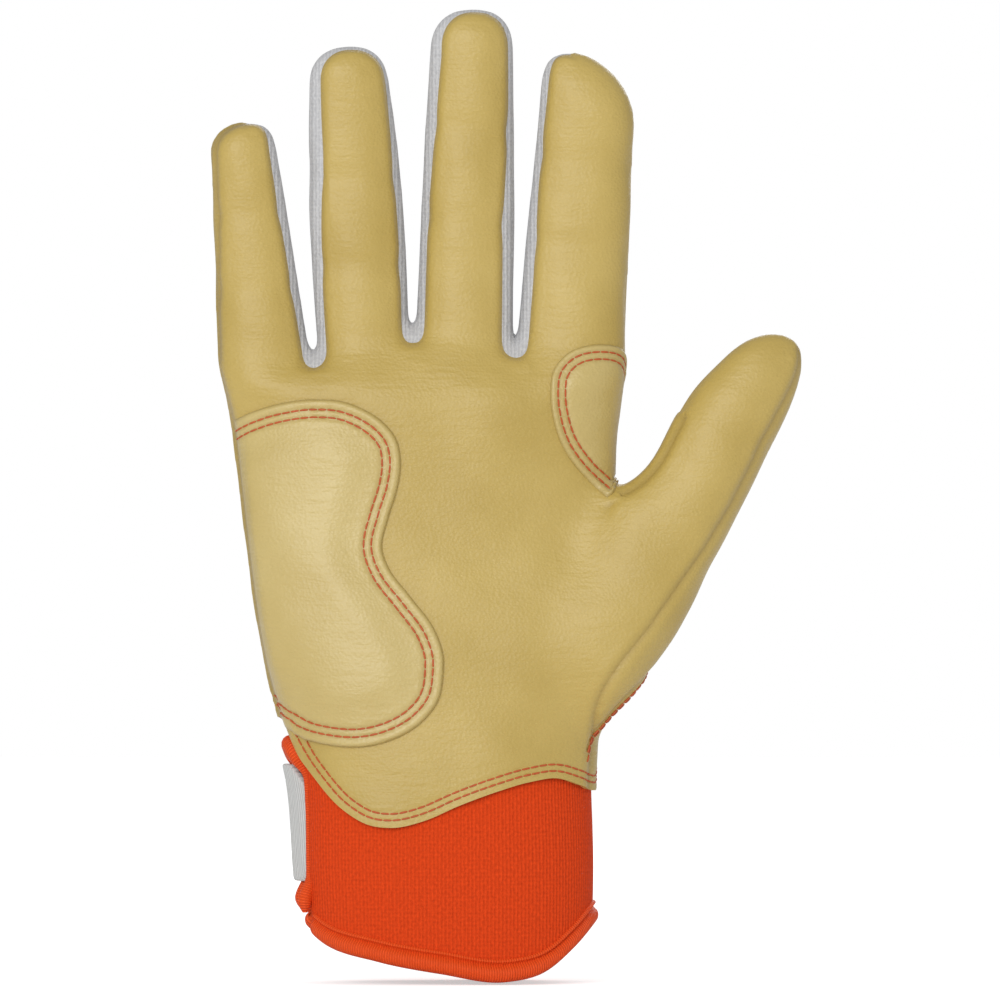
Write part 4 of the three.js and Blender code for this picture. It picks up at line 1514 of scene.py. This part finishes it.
        # Painted shade: a darker colour along the sewn seams and the thumb ball's groove
        painted_seam_shade = self.seam_shade * sewn * hump(skin.values["core"], 0, self.shade_width)
        near_ball = hump(skin.values["thumb"], 0, self.shade_width)
        painted_seam_shade += self.ball_shade * skin.values["ball"] * near_ball
        leather, knit = GOLD_LEATHER.build(), GREY_KNIT.build()
        pieces = []
        for name in sorted(set(names) - {""}):
            knitted = name.startswith("web") or name.endswith("fourchette")
            panel = skin.faces[names == name]
            wall = self.knit if knitted else self.leather
            points, faces = thicken(skin.points, skin.points - wall * normals, panel)
            finish = knit if knitted else leather
            piece = make_piece(f"sewn_{name}", points, faces, finish, edge=np.tile(painted_seam_shade, 2))
            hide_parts(name)
            stalls = [one for one in self.digits if name.startswith(one.name)]
            if stalls and name != "thumb_base_panel":
                digit = stalls[0]
                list(digit.bend())
                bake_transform(piece)
            else:
                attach(piece, "hand")
            pieces.append(piece)
        return pieces


@dataclass(frozen=True)
class Stitching:
    """Rows of lockstitch: short thread capsules whose ends go down into the leather."""

    pitch: float = 2.3
    length: float = 2.2
    radius: float = 0.24
    first: float = 0.08
    sides: int = 6
    # Rings of a stitch: share of its length, lift and size in thread radii
    rings: tuple[Triple, ...] = (
        (0, -0.8, 0.5),
        (0.06, 0.1, 0.85),
        (0.3, 0.55, 1),
        (0.7, 0.55, 1),
        (0.94, 0.1, 0.85),
        (1, -0.8, 0.5),
    )

    def capsule(self, start: Array, end: Array, up: Array) -> Array:
        """Rings of points round one stitch.

        Args:
            start: Where the thread comes up.
            end: Where it goes down.
            up: Direction away from the leather.

        Returns:
            The rings, one after another.
        """
        along = (end - start) / np.linalg.norm(end - start)
        side = np.cross(along, up)
        turns = np.arange(self.sides)[:, None] * math.pi / (self.sides / 2)
        turn = np.cos(turns) * side + np.sin(turns) * np.cross(side, along)
        rings = []
        for share, lift, size in self.rings:
            middle = start + share * (end - start) + lift * self.radius * up
            rings.append(middle + size * self.radius * turn)
        return np.array(rings)

    def lay(self, name: str, rows: Sequence[tuple[Array, Array]], body: str, slot: Slot) -> Piece:
        """Sews rows of stitches.

        Args:
            name: Name of the piece.
            rows: Points and outward directions along each row.
            body: Body that the stitches ride on.
            slot: Slot of the leather they are sewn into; not used.

        Returns:
            The stitches as one piece.
        """
        points, faces = [], []
        wall = grid_faces(len(self.rings), self.sides, ring=True)
        end = np.array([[0, k + 1, k] for k in range(1, self.sides - 1)])
        last_ring = (len(self.rings) - 1) * self.sides
        stitch = np.vstack([wall[:, ::-1], end[:, ::-1], end + last_ring])
        for line, up in rows:
            reach = lengths_along(line)
            count = max(round(reach[-1] / self.pitch), 1)
            for start in (np.arange(count) + self.first) * reach[-1] / count:
                rises, falls = (point_at(line, reach, start + one) for one in (0, self.length))
                away = point_at(up, reach, start + self.length / 2)
                capsule = self.capsule(rises, falls, away / np.linalg.norm(away))
                faces.append(stitch + capsule.size // 3 * len(points))
                points.append(capsule.reshape(-1, 3))
        piece = make_piece(name, np.vstack(points), np.vstack(faces), THREAD.build())
        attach(piece, body)
        return piece


def rows_on(
    sheet: Sheet, value: str, levels: Sequence[float], least: float = 6
) -> list[tuple[Array, Array]]:
    """Lines on a sheet for rows of stitches.

    Args:
        sheet: The sheet, cut at the levels.
        value: Name of the carried value.
        levels: Level of each row.
        least: Shortest line that is sewn.

    Returns:
        Points and outward directions along each line.
    """
    normals = sheet.normals()
    rows = []
    for level in levels:
        for line in sheet.lines_at(value, level):
            points = sheet.points[line]
            if lengths_along(points)[-1] > least:
                rows.append((points, normals[line]))
    return rows


@dataclass(frozen=True)
class Patch:
    """A second layer of leather, sewn on with two rows of stitches behind its rolled edge."""

    name: str
    nodes: tuple[str, ...]
    outline: Line
    edge_height: float
    middle_height: float
    rise: Pair
    rows: Pair
    behind: float = 0
    into_seam: bool = False
    fill: float = 0
    wrap: float = 0
    thumb_side: float = 99
    from_x: float = -99
    roll: float = 1.1
    edge_foot: float = 0.12
    edge_levels: tuple[float, ...] = (0, 0.25, 0.6)
    dent: float = 0.5
    dent_width: float = 0.6
    dent_end: float = 1.4
    margin: float = 3
    wrap_from: float = -7
    thumb_slope: float = 2.5
    sewn_from: float = 0.6
    seam_gap: float = 0.3
    seam_height: float = 0.1
    seam_rise: float = 4.5
    under_gap: float = 0.04
    edge_shade: float = 0.35
    row_shade: float = 0.3
    shade_width: float = 0.5

    def height(self, depth: Array) -> Array:
        """Height of the patch above the leather.

        Args:
            depth: Distance inside its edge.

        Returns:
            The height at each place.
        """
        near = 1 - np.clip(depth / self.roll, 0, 1)
        high = self.edge_foot + (self.edge_height - self.edge_foot) * np.sqrt(1 - near**2)
        for row in self.rows:
            high = high - self.dent * hump(depth, row, self.dent_width)
        return high + (self.middle_height - self.edge_height) * smoothstep(*self.rise, depth)

    def unrolled(self, points: Array) -> Array:
        """Places across and up, with the way round the hand's side laid out flat.

        Args:
            points: Points on the leather.

        Returns:
            The flat places.
        """
        flat = seen_from_palm(points).copy()
        flat[:, 0] += self.wrap * np.maximum(points[:, 1] - self.wrap_from, 0) ** 2
        return flat

    def cut_out(self, skin: Sheet) -> Sheet:
        """Cuts the patch's ground out of the leather.

        Args:
            skin: The worked skin that it lies on.

        Returns:
            The ground, with its depth inside the edge and how firmly it is sewn down.
        """
        outline = line_through(self.outline, closed=True)
        middles = skin.middles()
        near = depth_in(outline, self.unrolled(middles)) < self.margin
        near &= (middles[:, 1] < self.behind + self.margin) & (middles[:, 0] > self.from_x)
        sheet = skin.part(near)
        depth = -depth_in(outline, self.unrolled(sheet.points))
        if not self.into_seam:
            depth = np.minimum(depth, self.behind - sheet.points[:, 1])
        limit = self.thumb_slope * (self.thumb_side - sheet.values["thumb"])
        sheet.values["depth"] = np.minimum(depth, limit)
        sheet.values["sewn_down"] = limit - depth
        first, last = self.rows
        levels = (first - self.dent_width, first, (first + last) / 2)
        levels += (last, last + self.dent_width, last + self.dent_end)
        for level in (*self.edge_levels, self.roll, *levels):
            sheet.cut("depth", level)
        if self.into_seam:
            sheet.cut("core", -self.seam_gap)
        kept = (sheet.on_faces("depth") > 0) & (sheet.on_faces("hem") > 0)
        if self.into_seam:
            kept &= sheet.middles()[:, 1] < self.behind
            kept &= sheet.on_faces("core") < -self.seam_gap
        return sheet.part(kept)

    def build(self, skin: Sheet) -> list[Piece]:
        """Makes the patch and its stitches.

        Args:
            skin: The worked skin that it lies on.

        Returns:
            The patch and its stitches.
        """
        sheet = self.cut_out(skin)
        depth = sheet.values["depth"]
        up = sheet.normals()
        high = self.height(depth)
        if self.into_seam:
            rise = smoothstep(0, self.seam_rise, -sheet.values["core"])
            high = self.seam_height + (high - self.seam_height) * rise
        under = sheet.points + self.under_gap * up
        sheet.points = sheet.points + high[:, None] * up
        points, faces = thicken(sheet.points, under, sheet.faces)
        # Painted shade at the patch's rolled edge and in the dents of its stitch rows
        shade = self.edge_shade * hump(depth, 0, self.shade_width)
        for row in self.rows:
            shade = np.maximum(shade, self.row_shade * hump(depth, row, self.shade_width))
        finish = PATCH_LEATHER.build()
        piece = make_piece(self.name, points, faces, finish, edge=np.tile(shade, 2))
        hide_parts(*self.nodes)
        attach(piece, "hand")
        sewn_down = sheet.values["sewn_down"][sheet.faces].min(axis=1)
        rows = rows_on(sheet.part(sewn_down > self.sewn_from), "depth", self.rows)
        return [piece, Stitching().lay(f"{self.name}_stitches", rows, "hand", Slot.PATCH)]


HEEL_PATCH = Patch(
    "sewn_heel_patch",
    ("heel_patch", "heel_pad"),
    outline=(
        (-55.2, 137.8), (-50.7, 140.1), (-43.4, 142.6), (-33.2, 143.9), (-26.1, 143.3),
        (-21.6, 141.6), (-16.7, 138.5), (-13.1, 133.9), (-12.1, 128.6), (-12.9, 121.8),
        (-15.1, 114.6), (-16.6, 106.6), (-15.1, 102.4), (-9.7, 95.2), (-3.7, 87),
        (-1.5, 80.4), (-1.5, 76.4), (-2.7, 69.7), (-7.4, 63.7), (-14.1, 59.8),
        (-21.8, 58), (-29.8, 58.5), (-36.2, 60.2), (-41, 63), (-46, 65.5),
        (-62, 70), (-68, 84), (-70, 118), (-66, 132),
    ),
    edge_height=1.4,
    middle_height=3.0,
    rise=(5, 15),
    rows=(2.6, 4.5),
    into_seam=True,
    fill=0.6,
)
CROTCH_PATCH = Patch(
    "sewn_crotch_patch",
    ("thumb_crotch_patch",),
    outline=(
        (41.5, 157), (36.2, 157.5), (29.8, 155.7), (25.5, 150.8), (24.8, 145.8), (25.5, 138.9),
        (27.8, 132.2), (31.7, 126.5), (36.5, 121.6), (40.4, 118.2), (45, 114.4), (50, 115.5),
        (51, 126.5), (51.2, 143), (49.5, 150), (46, 154.5),
    ),
    edge_height=0.9,
    middle_height=1.1,
    rise=(4.5, 8),
    rows=(1.9, 3.7),
    behind=8,
    wrap=0.1,
    thumb_side=0.4,
    from_x=20,
)


# Cuff and strap


def bend(value: Array) -> Array:
    """Squares off a sine or cosine, as the hand's oval is."""
    return np.sign(value) * np.abs(value) ** (2 / HandForm.squareness)


def unbend(value: float) -> float:
    """Angle whose squared-off sine is a value."""
    return math.copysign(math.asin(abs(value) ** (HandForm.squareness / 2)), value)


def laid_out(arc: Array, height: Array) -> Array:
    """Pattern places of a bent band's two faces, as if it were laid out flat.

    Args:
        arc: Distance along the band at each column.
        height: Heights of its points by row and column.

    Returns:
        The places of the outer and then the inner points.
    """
    place = np.stack([np.broadcast_to(arc, height.shape), 0 * height, height], axis=-1)
    return np.tile(place.reshape(-1, 3), (2, 1))


def rounded_ends(count: int, growth: float, first: float = 25) -> Array:
    """Sizes of a row of rings that closes roundly at both ends.

    Args:
        count: Number of rings.
        growth: Degrees from each ring to the next, until a quarter turn is full.
        first: Degrees at the end rings.

    Returns:
        The share of its full size that each ring has.
    """
    number = np.arange(count)
    from_end = np.minimum(number, number[::-1])
    return np.sin(np.radians(np.minimum(first + growth * from_end, 90)))


def tube(rings: Array) -> tuple[Array, Array]:
    """Closes a row of rings into a body with flat ends.

    Args:
        rings: Rings of points, one after another.

    Returns:
        The points and triangles of the body.
    """
    count, size, _ = rings.shape
    points = np.vstack([rings.reshape(-1, 3), rings[0].mean(axis=0), rings[-1].mean(axis=0)])
    near = np.arange(size)
    after = (near + 1) % size
    first = np.stack([after, near, np.full(size, count * size)], axis=1)
    last = np.stack([near, after, np.full(size, count * size + 1)], axis=1)
    last[:, :2] += (count - 1) * size
    return points, np.vstack([grid_faces(count, size, ring=True), first, last])


@dataclass(frozen=True)
class Cuff:
    """Ribbed sleeve at the wrist with its bound rim, and a bound slit on the little-finger side."""

    half_width: float = 36.8
    half_depth: float = 21.5
    outside: float = -1.5
    wall: float = 2.4
    slit_front: float = -8
    slit_back: float = 5
    slit_top: float = 57
    lap: float = 8
    rim_line: Line = (
        (-46, 24), (-37, 15), (-31, 9.2), (-18, 5), (-2, 2),
        (14, 0), (23, 2), (30.5, 8), (36.5, 15), (46, 26),
    )
    rim_inset: float = 1
    hem_outset: float = 4
    columns: int = 180
    gap_columns: int = 12
    rows: int = 40
    pattern_row: int = 20
    foot_lift: float = 2.4
    top_lift: float = 1.5
    swell: float = 0.35
    binding_height: float = 5.7
    binding_rings: int = 260
    binding_growth: float = 16.25
    binding_profile: Line = (
        (-1.5, 0.2), (0, 0), (1.5, 0.2), (2.4, 1.0), (2.65, 2.1), (2.35, 3.2),
        (1.6, 3.95), (1.25, 4.4), (1.45, 4.7), (2.0, 5.0), (1.95, 5.4), (1.3, 5.8),
        (0, 5.7), (-1.3, 5.6), (-1.6, 4.4), (-2.2, 3.4), (-2.5, 2.2), (-2.3, 1.0),
    )
    roll: float = 1.1
    roll_sides: int = 14
    roll_growth: float = 20
    roll_inset: float = 1
    roll_foot: float = 4.5
    roll_level: float = -1.9
    # Share of the way from the slit's front to its back, and the height there
    roll_path: Line = (
        (0, 30), (0, 44), (0, 53), (0.25, 57.4), (0.5, 58.6),
        (0.75, 57.4), (1, 53), (1, 44), (1, 30),
    )
    # How much the roll is lifted and swollen, and the heights where that begins and is full
    top_raised: Triple = (1.1, 50, 57)
    foot_raised: Triple = (1.7, 26, 19)
    top_swollen: Triple = (1.15, 51, 56)
    # How much the roll swells above its foot, at what height and over what width
    foot_swollen: Triple = (0.8, 20.5, 4)
    # Millimetres for each radian, round the wrist and round the roll
    wrist_radius: float = 20
    tape_radius: float = 3

    def at(self, level: Array | float, angle: Array, height: Array, hand: HandForm) -> Array:
        """Points round the wrist.

        Args:
            level: Distance outside the leather.
            angle: Angle round the wrist; 0 is the thumb side and a quarter turn the back.
            height: Heights of the points.
            hand: Form of the hand.

        Returns:
            The points.
        """
        across, behind = bend(np.cos(angle)), bend(np.sin(angle))
        wide, deep = hand.reach(across, behind, height)
        places = (across * (wide + level), behind * (deep + level), height + 0 * across)
        return np.stack(places, axis=-1)

    def angle_at(self, depth: float) -> float:
        """Angle on the little-finger side at a depth behind the middle."""
        return math.pi - unbend(depth / (self.half_depth + self.outside))

    def rim(self, angle: Array) -> Array:
        """Height of the sleeve's foot at an angle round the wrist."""
        line = line_through(self.rim_line)
        across = bend(np.cos(angle)) * (self.half_width - self.rim_inset)
        return np.interp(across, line[:, 0], line[:, 1])

    def open_angles(self, count: int) -> Array:
        """Angles round the sleeve, from the slit's front edge to its back edge."""
        start, end = self.angle_at(self.slit_front), self.angle_at(self.slit_back)
        return np.linspace(start, end + 2 * math.pi, count)

    def build_sleeve(self, glove: GloveBody) -> Piece:
        """Makes the sleeve.

        Args:
            glove: The leather that it is sewn under.

        Returns:
            The sleeve.
        """
        around = self.open_angles(self.columns)
        gap = np.linspace(around[-1], around[0] + 2 * math.pi, self.gap_columns)[1:-1]
        angle = np.concatenate([around, gap])
        foot = self.rim(angle) + self.foot_lift
        hem = np.array([self.hem_height(glove, one) for one in angle])
        top = np.maximum(hem + self.lap, self.slit_top + self.top_lift)
        shares = np.linspace(0, 1, self.rows)[:, None]
        lower = foot + (self.slit_top - foot) * shares
        upper = self.slit_top + (top - self.slit_top) * shares[::3][1:]
        height = np.vstack([lower, upper])
        angles = np.broadcast_to(angle, height.shape)
        risen = np.clip((height - foot) / (self.slit_top - foot), 0, 1)
        swell = self.swell * np.sin(math.pi * risen)
        outer = self.at(self.outside + swell, angles, height, glove.hand)
        inner = self.at(self.outside + swell - self.wall, angles, height, glove.hand)
        faces = grid_faces(*height.shape, ring=True)
        low = height.ravel()[faces].mean(axis=1) < self.slit_top
        columns = faces % len(angle)
        slit = ((columns >= len(around)).any(axis=1)) & low
        points, faces = thicken(outer.reshape(-1, 3), inner.reshape(-1, 3), faces[~slit])
        place = laid_out(lengths_along(outer[self.pattern_row]), height)
        piece = make_piece("knitted_cuff", points, faces, CUFF_KNIT.build(), place)
        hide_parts("cuff")
        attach(piece, "hand")
        return piece

    def hem_height(self, glove: GloveBody, angle: float) -> float:
        """Height of the leather's hem at an angle round the wrist.

        Args:
            glove: The leather.
            angle: The angle.

        Returns:
            The height.
        """
        line = line_through(glove.palm_hem if math.sin(angle) < 0 else glove.back_hem)
        across = bend(np.array(math.cos(angle))) * (self.half_width + self.hem_outset)
        return float(np.interp(across, line[:, 0], line[:, 1]))

    def build_binding(self, hand: HandForm) -> Piece:
        """Makes the bound rim: a thick roll with a narrow edge of tape above it.

        Args:
            hand: Form of the hand.

        Returns:
            The binding.
        """
        profile = line_through(self.binding_profile, closed=True, spacing=0.4)
        angle = self.open_angles(self.binding_rings)
        middle = np.array([0, self.binding_height / 2])
        sizes = rounded_ends(self.binding_rings, self.binding_growth)
        rings = []
        for one, foot, size in zip(angle, self.rim(angle), sizes):
            out, up = (middle + (profile - middle) * size).T
            level = self.outside - self.wall / 2 + out
            rings.append(self.at(level, np.full(len(out), one), foot + up, hand))
        rings = np.array(rings)
        points, faces = tube(rings)
        arc = np.repeat(lengths_along(rings.mean(axis=1)), len(profile))
        place = np.stack([arc, 0 * arc, rings[..., 2].ravel()], axis=1)
        place = np.vstack([place, place[0], place[-1]])
        piece = make_piece("bound_rim", points, faces, BINDING_TAPE.build(), place)
        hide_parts("cuff_binding")
        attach(piece, "hand")
        return piece

    def build_slit(self, hand: HandForm) -> Piece:
        """Makes the roll of tape round the slit, fuller at its top and at its foot.

        Args:
            hand: Form of the hand.

        Returns:
            The roll.
        """
        front = self.angle_at(self.slit_front + self.roll_inset)
        back = self.angle_at(self.slit_back - self.roll_inset)
        feet = self.rim(np.array([front, back])) + self.roll_foot
        path = [(0, feet[0]), *self.roll_path, (1, feet[1])]
        path = [(front * (1 - share) + back * share, height) for share, height in path]
        path = [(one * self.wrist_radius, height) for one, height in path]
        line = line_through(path, spacing=0.8)
        angle, height = line[:, 0] / self.wrist_radius, line[:, 1]
        lift, size = self.roll_level, self.roll
        for high, begins, full in (self.top_raised, self.foot_raised):
            lift = lift + high * smoothstep(begins, full, height)
        high, begins, full = self.top_swollen
        size = size + high * smoothstep(begins, full, height)
        high, level, width = self.foot_swollen
        size = size + high * hump(height, level, width)
        size = size * rounded_ends(len(line), self.roll_growth)
        middle = self.at(lift, angle, height, hand)
        along = np.gradient(middle, axis=0)
        along /= np.linalg.norm(along, axis=1, keepdims=True)
        out = np.stack([-np.ones(len(line)), 0 * angle, 0 * angle], axis=1)
        side = np.cross(along, out)
        side /= np.linalg.norm(side, axis=1, keepdims=True)
        out = np.cross(side, along)
        turns = np.arange(self.roll_sides) * 2 * math.pi / self.roll_sides
        turn = np.cos(turns)[:, None] * side[:, None] + np.sin(turns)[:, None] * out[:, None]
        points, faces = tube(middle[:, None] + size[:, None, None] * turn)
        arc = np.repeat(lengths_along(middle), self.roll_sides)
        around = np.tile(turns * self.tape_radius, len(line))
        place = np.stack([arc, 0 * arc, around], axis=1)
        place = np.vstack([place, place[0], place[-1]])
        piece = make_piece("bound_slit", points, faces, BINDING_TAPE.build(), place)
        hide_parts("slit_binding")
        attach(piece, "hand")
        return piece


@dataclass(frozen=True)
class WristStrap:
    """Webbing strap from the slit's front edge over the back of the wrist, with its tapes."""

    height: float = 29
    foot: float = 24.5
    end_x: float = 20
    corner: float = 7
    webbing: float = 1.8
    tape: float = 1.0
    tape_margin: float = 2.5
    hook_span: Pair = (-6.5, 17.5)
    loop_span: Pair = (-13, 27)
    webbing_level: float = 1.4
    hook_level: float = 0.1
    loop_level: float = -1.2
    tape_corner: float = 1.0
    wrist_half_width: float = 35.3
    columns: int = 90
    rows: int = 25
    lean: float = 0.06
    lean_span: Pair = (math.pi * 0.75, math.pi)
    root_taper: float = 6
    root_level: float = -3.6
    root_inset: float = 2.1
    risen_depth: float = 7.3
    edge_width: float = 0.9
    edge_share: float = 0.35

    def angle_across(self, x: float) -> float:
        """Angle on the back of the wrist at a place across it."""
        return math.pi / 2 - unbend(x / self.wrist_half_width)

    def band(
        self,
        cuff: Cuff,
        hand: HandForm,
        span: Pair,
        level: float,
        wall: float,
        corner: float,
        rise: float,
    ) -> tuple[Array, Array, Array]:
        """Bent band round the wrist.

        Args:
            cuff: The cuff that it lies on.
            hand: Form of the hand.
            span: Angles of its two ends.
            level: Distance of its inner face outside the leather.
            wall: Its thickness.
            corner: Radius of the corners at its second end.
            rise: Angle over which it comes up from inside the cuff; none if 0.

        Returns:
            Its points, triangles and pattern places.
        """
        angle = np.linspace(*span, self.columns)
        margin = 0 if wall > self.tape else self.tape_margin
        half = self.height / 2 - margin
        arc = lengths_along(cuff.at(level, angle, np.full(self.columns, self.foot), hand))
        left = np.clip(corner - (arc[-1] - arc), 0, corner)
        tall = half - (corner - np.sqrt(corner**2 - left**2))
        if rise:
            tall = tall - np.clip(self.root_taper - arc, 0, None)
        share = np.sin(np.linspace(-math.pi / 2, math.pi / 2, self.rows))[:, None]
        above = share * tall
        height = self.foot + self.height / 2 + above
        lift = np.full(self.columns, level)
        if rise:
            risen = smoothstep(span[0], span[0] - rise, angle)
            lift = self.root_level + (level - self.root_level) * risen
            lift = lift + self.lean * above * smoothstep(*self.lean_span, angle)
        soft = np.clip(1 - (1 - np.abs(share)) * self.height / 2 / self.edge_width, 0, 1)
        draw = wall * self.edge_share * (1 - np.sqrt(1 - soft**2))
        angles = np.broadcast_to(angle, height.shape)
        outer = cuff.at(lift + wall - draw, angles, height, hand)
        inner = cuff.at(lift + draw, angles, height, hand)
        faces = grid_faces(*height.shape)[:, ::-1]
        points, faces = thicken(outer.reshape(-1, 3), inner.reshape(-1, 3), faces)
        return points, faces, laid_out(arc, height)

    def build(self, cuff: Cuff, hand: HandForm) -> list[Piece]:
        """Makes the strap and both fastening tapes.

        Args:
            cuff: The cuff that they lie on.
            hand: Form of the hand.

        Returns:
            The strap, the hooks and the loops.
        """
        start = cuff.angle_at(cuff.slit_front + self.root_inset)
        rise = start - cuff.angle_at(self.risen_depth)
        span = (start, self.angle_across(self.end_x))
        webbing = (span, self.webbing_level, self.webbing, self.corner, rise)
        span = tuple(self.angle_across(x) for x in self.hook_span)
        hooks = (span, self.hook_level, self.tape, self.tape_corner, 0)
        span = tuple(self.angle_across(x) for x in self.loop_span)
        loops = (span, self.loop_level, self.tape, self.tape_corner, 0)
        pieces = []
        for name, node, body, slot, finish, sizes in (
            ("webbing_strap", "wrist_strap", "strap", Slot.STRAP, WEBBING, webbing),
            ("strap_hooks", "hook_tape", "strap", Slot.HOOK, HOOKS, hooks),
            ("cuff_loops", "loop_tape", "hand", Slot.LOOP, LOOPS, loops),
        ):
            points, faces, place = self.band(cuff, hand, *sizes)
            piece = make_piece(name, points, faces, finish.build(), place)
            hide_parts(node)
            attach(piece, body)
            pieces.append(piece)
        return pieces


# Studio


@dataclass(frozen=True)
class Studio:
    """White product set: even light, a key light from the upper left and a softly shaded floor."""

    middle_mm: Pair = (12.4, 119.04)
    distance_mm: float = 3445
    lens: float = 500
    sensor: float = 36
    ambient: float = 0.6
    mirrored: float = 0.3
    key_watts: float = 9.0
    # Names of the lights, places from the glove's middle in metres, sizes and shares of the power
    lights: tuple[tuple[str, Triple, float, float], ...] = (
        ("key light", (-0.45, -1.3, 0.38), 0.75, 1),
        ("fill light", (0.9, -0.8, 0.35), 0.8, 0.06),
        ("back light", (0.3, 1.4, 0.5), 0.8, 0.5),
    )
    floor_side: Pair = (-3000, 3000)
    floor_depth: Pair = (-1000, 3000)
    floor_level: float = -0.6
    paper: float = 0.9
    glow: float = 0.5

    def build(self) -> None:
        """Adds the camera, the lights, the sky and the floor."""
        scene = bpy.context.scene
        scene.view_settings.view_transform = "Standard"
        across, up = self.middle_mm
        camera = bpy.data.objects.new("camera", bpy.data.cameras.new("camera"))
        camera.data.lens = self.lens
        camera.data.sensor_width = self.sensor
        camera.location = Vector((across, -self.distance_mm, up)) * MM
        camera.rotation_euler = (math.pi / 2, 0, 0)
        scene.collection.objects.link(camera)
        scene.camera = camera
        target = Vector((across, 0, up)) * MM
        for name, place, size, share in self.lights:
            lamp = bpy.data.lights.new(name, "AREA")
            lamp.size, lamp.energy = size, self.key_watts * share
            light = bpy.data.objects.new(name, lamp)
            light.location = target + Vector(place)
            light.rotation_euler = (target - light.location).to_track_quat("-Z", "Y").to_euler()
            scene.collection.objects.link(light)
        self.build_sky(scene)
        self.build_floor()

    def build_sky(self, scene: bpy.types.Scene) -> None:
        """Makes a sky that lights evenly and looks white.

        Args:
            scene: The scene that it belongs to.
        """
        world = bpy.data.worlds.new("white set")
        world.use_nodes = True
        scene.world = world
        tree = world.node_tree
        tree.nodes.clear()
        path = add_node(tree, "ShaderNodeLightPath", {}, {})
        either = {0: path.outputs["Is Camera Ray"], 1: path.outputs["Is Transmission Ray"]}
        seen = add_node(tree, "ShaderNodeMath", {"operation": "MAXIMUM"}, either)
        span = {"To Min": self.ambient, "To Max": self.mirrored}
        shiny = {"Value": path.outputs["Is Glossy Ray"]}
        lit = add_node(tree, "ShaderNodeMapRange", span, shiny)
        links = {"Value": seen.outputs[0], "To Min": lit.outputs["Result"]}
        level = add_node(tree, "ShaderNodeMapRange", {"To Max": 1.0}, links)
        links = {"Strength": level.outputs["Result"]}
        sky = add_node(tree, "ShaderNodeBackground", {"Color": (1, 1, 1, 1)}, links)
        add_node(tree, "ShaderNodeOutputWorld", {}, {"Surface": sky.outputs[0]})

    def build_floor(self) -> None:
        """Makes the white floor under the cuff."""
        material = bpy.data.materials.new("white paper")
        material.use_nodes = True
        tree = material.node_tree
        tree.nodes.clear()
        path = add_node(tree, "ShaderNodeLightPath", {}, {})
        grey = {"Color": (self.paper, self.paper, self.paper, 1)}
        paper = add_node(tree, "ShaderNodeBsdfDiffuse", grey, {})
        white = {"Color": (1, 1, 1, 1), "Strength": self.glow}
        glow = add_node(tree, "ShaderNodeEmission", white, {})
        both = add_node(tree, "ShaderNodeAddShader", {}, {0: paper.outputs[0], 1: glow.outputs[0]})
        links = {0: path.outputs["Is Camera Ray"], 1: paper.outputs[0], 2: both.outputs[0]}
        mixed = add_node(tree, "ShaderNodeMixShader", {}, links)
        add_node(tree, "ShaderNodeOutputMaterial", {}, {"Surface": mixed.outputs[0]})
        (left, right), (front, back) = self.floor_side, self.floor_depth
        corners = ((left, front), (right, front), (right, back), (left, back))
        points = np.array([(*corner, self.floor_level) for corner in corners])
        floor = make_piece("floor", points, np.array([(0, 1, 2), (0, 2, 3)]), material)


def main() -> None:
    """Builds every piece and the set, and logs how many points each piece has."""
    logging.basicConfig(level=logging.INFO, format="%(name)s: %(message)s")
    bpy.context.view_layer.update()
    glove, cuff = GloveBody(), Cuff()
    skin = glove.grow_skin()
    glove.dress_skin(skin)
    pieces = glove.sew(skin)
    pieces += HEEL_PATCH.build(skin) + CROTCH_PATCH.build(skin)
    rows = rows_on(skin, "hem", glove.hem_rows) + rows_on(skin, "thumb", glove.ball_rows)
    pieces.append(Stitching().lay("hem_stitches", rows, "hand", Slot.GOLD))
    pieces.append(cuff.build_sleeve(glove))
    pieces += [cuff.build_binding(glove.hand), cuff.build_slit(glove.hand)]
    pieces += WristStrap().build(cuff, glove.hand)
    for piece in pieces:
        log.info("%s: %d points", piece.name, len(piece.data.vertices))
    Studio().build()


if __name__ == "__main__":
    main()
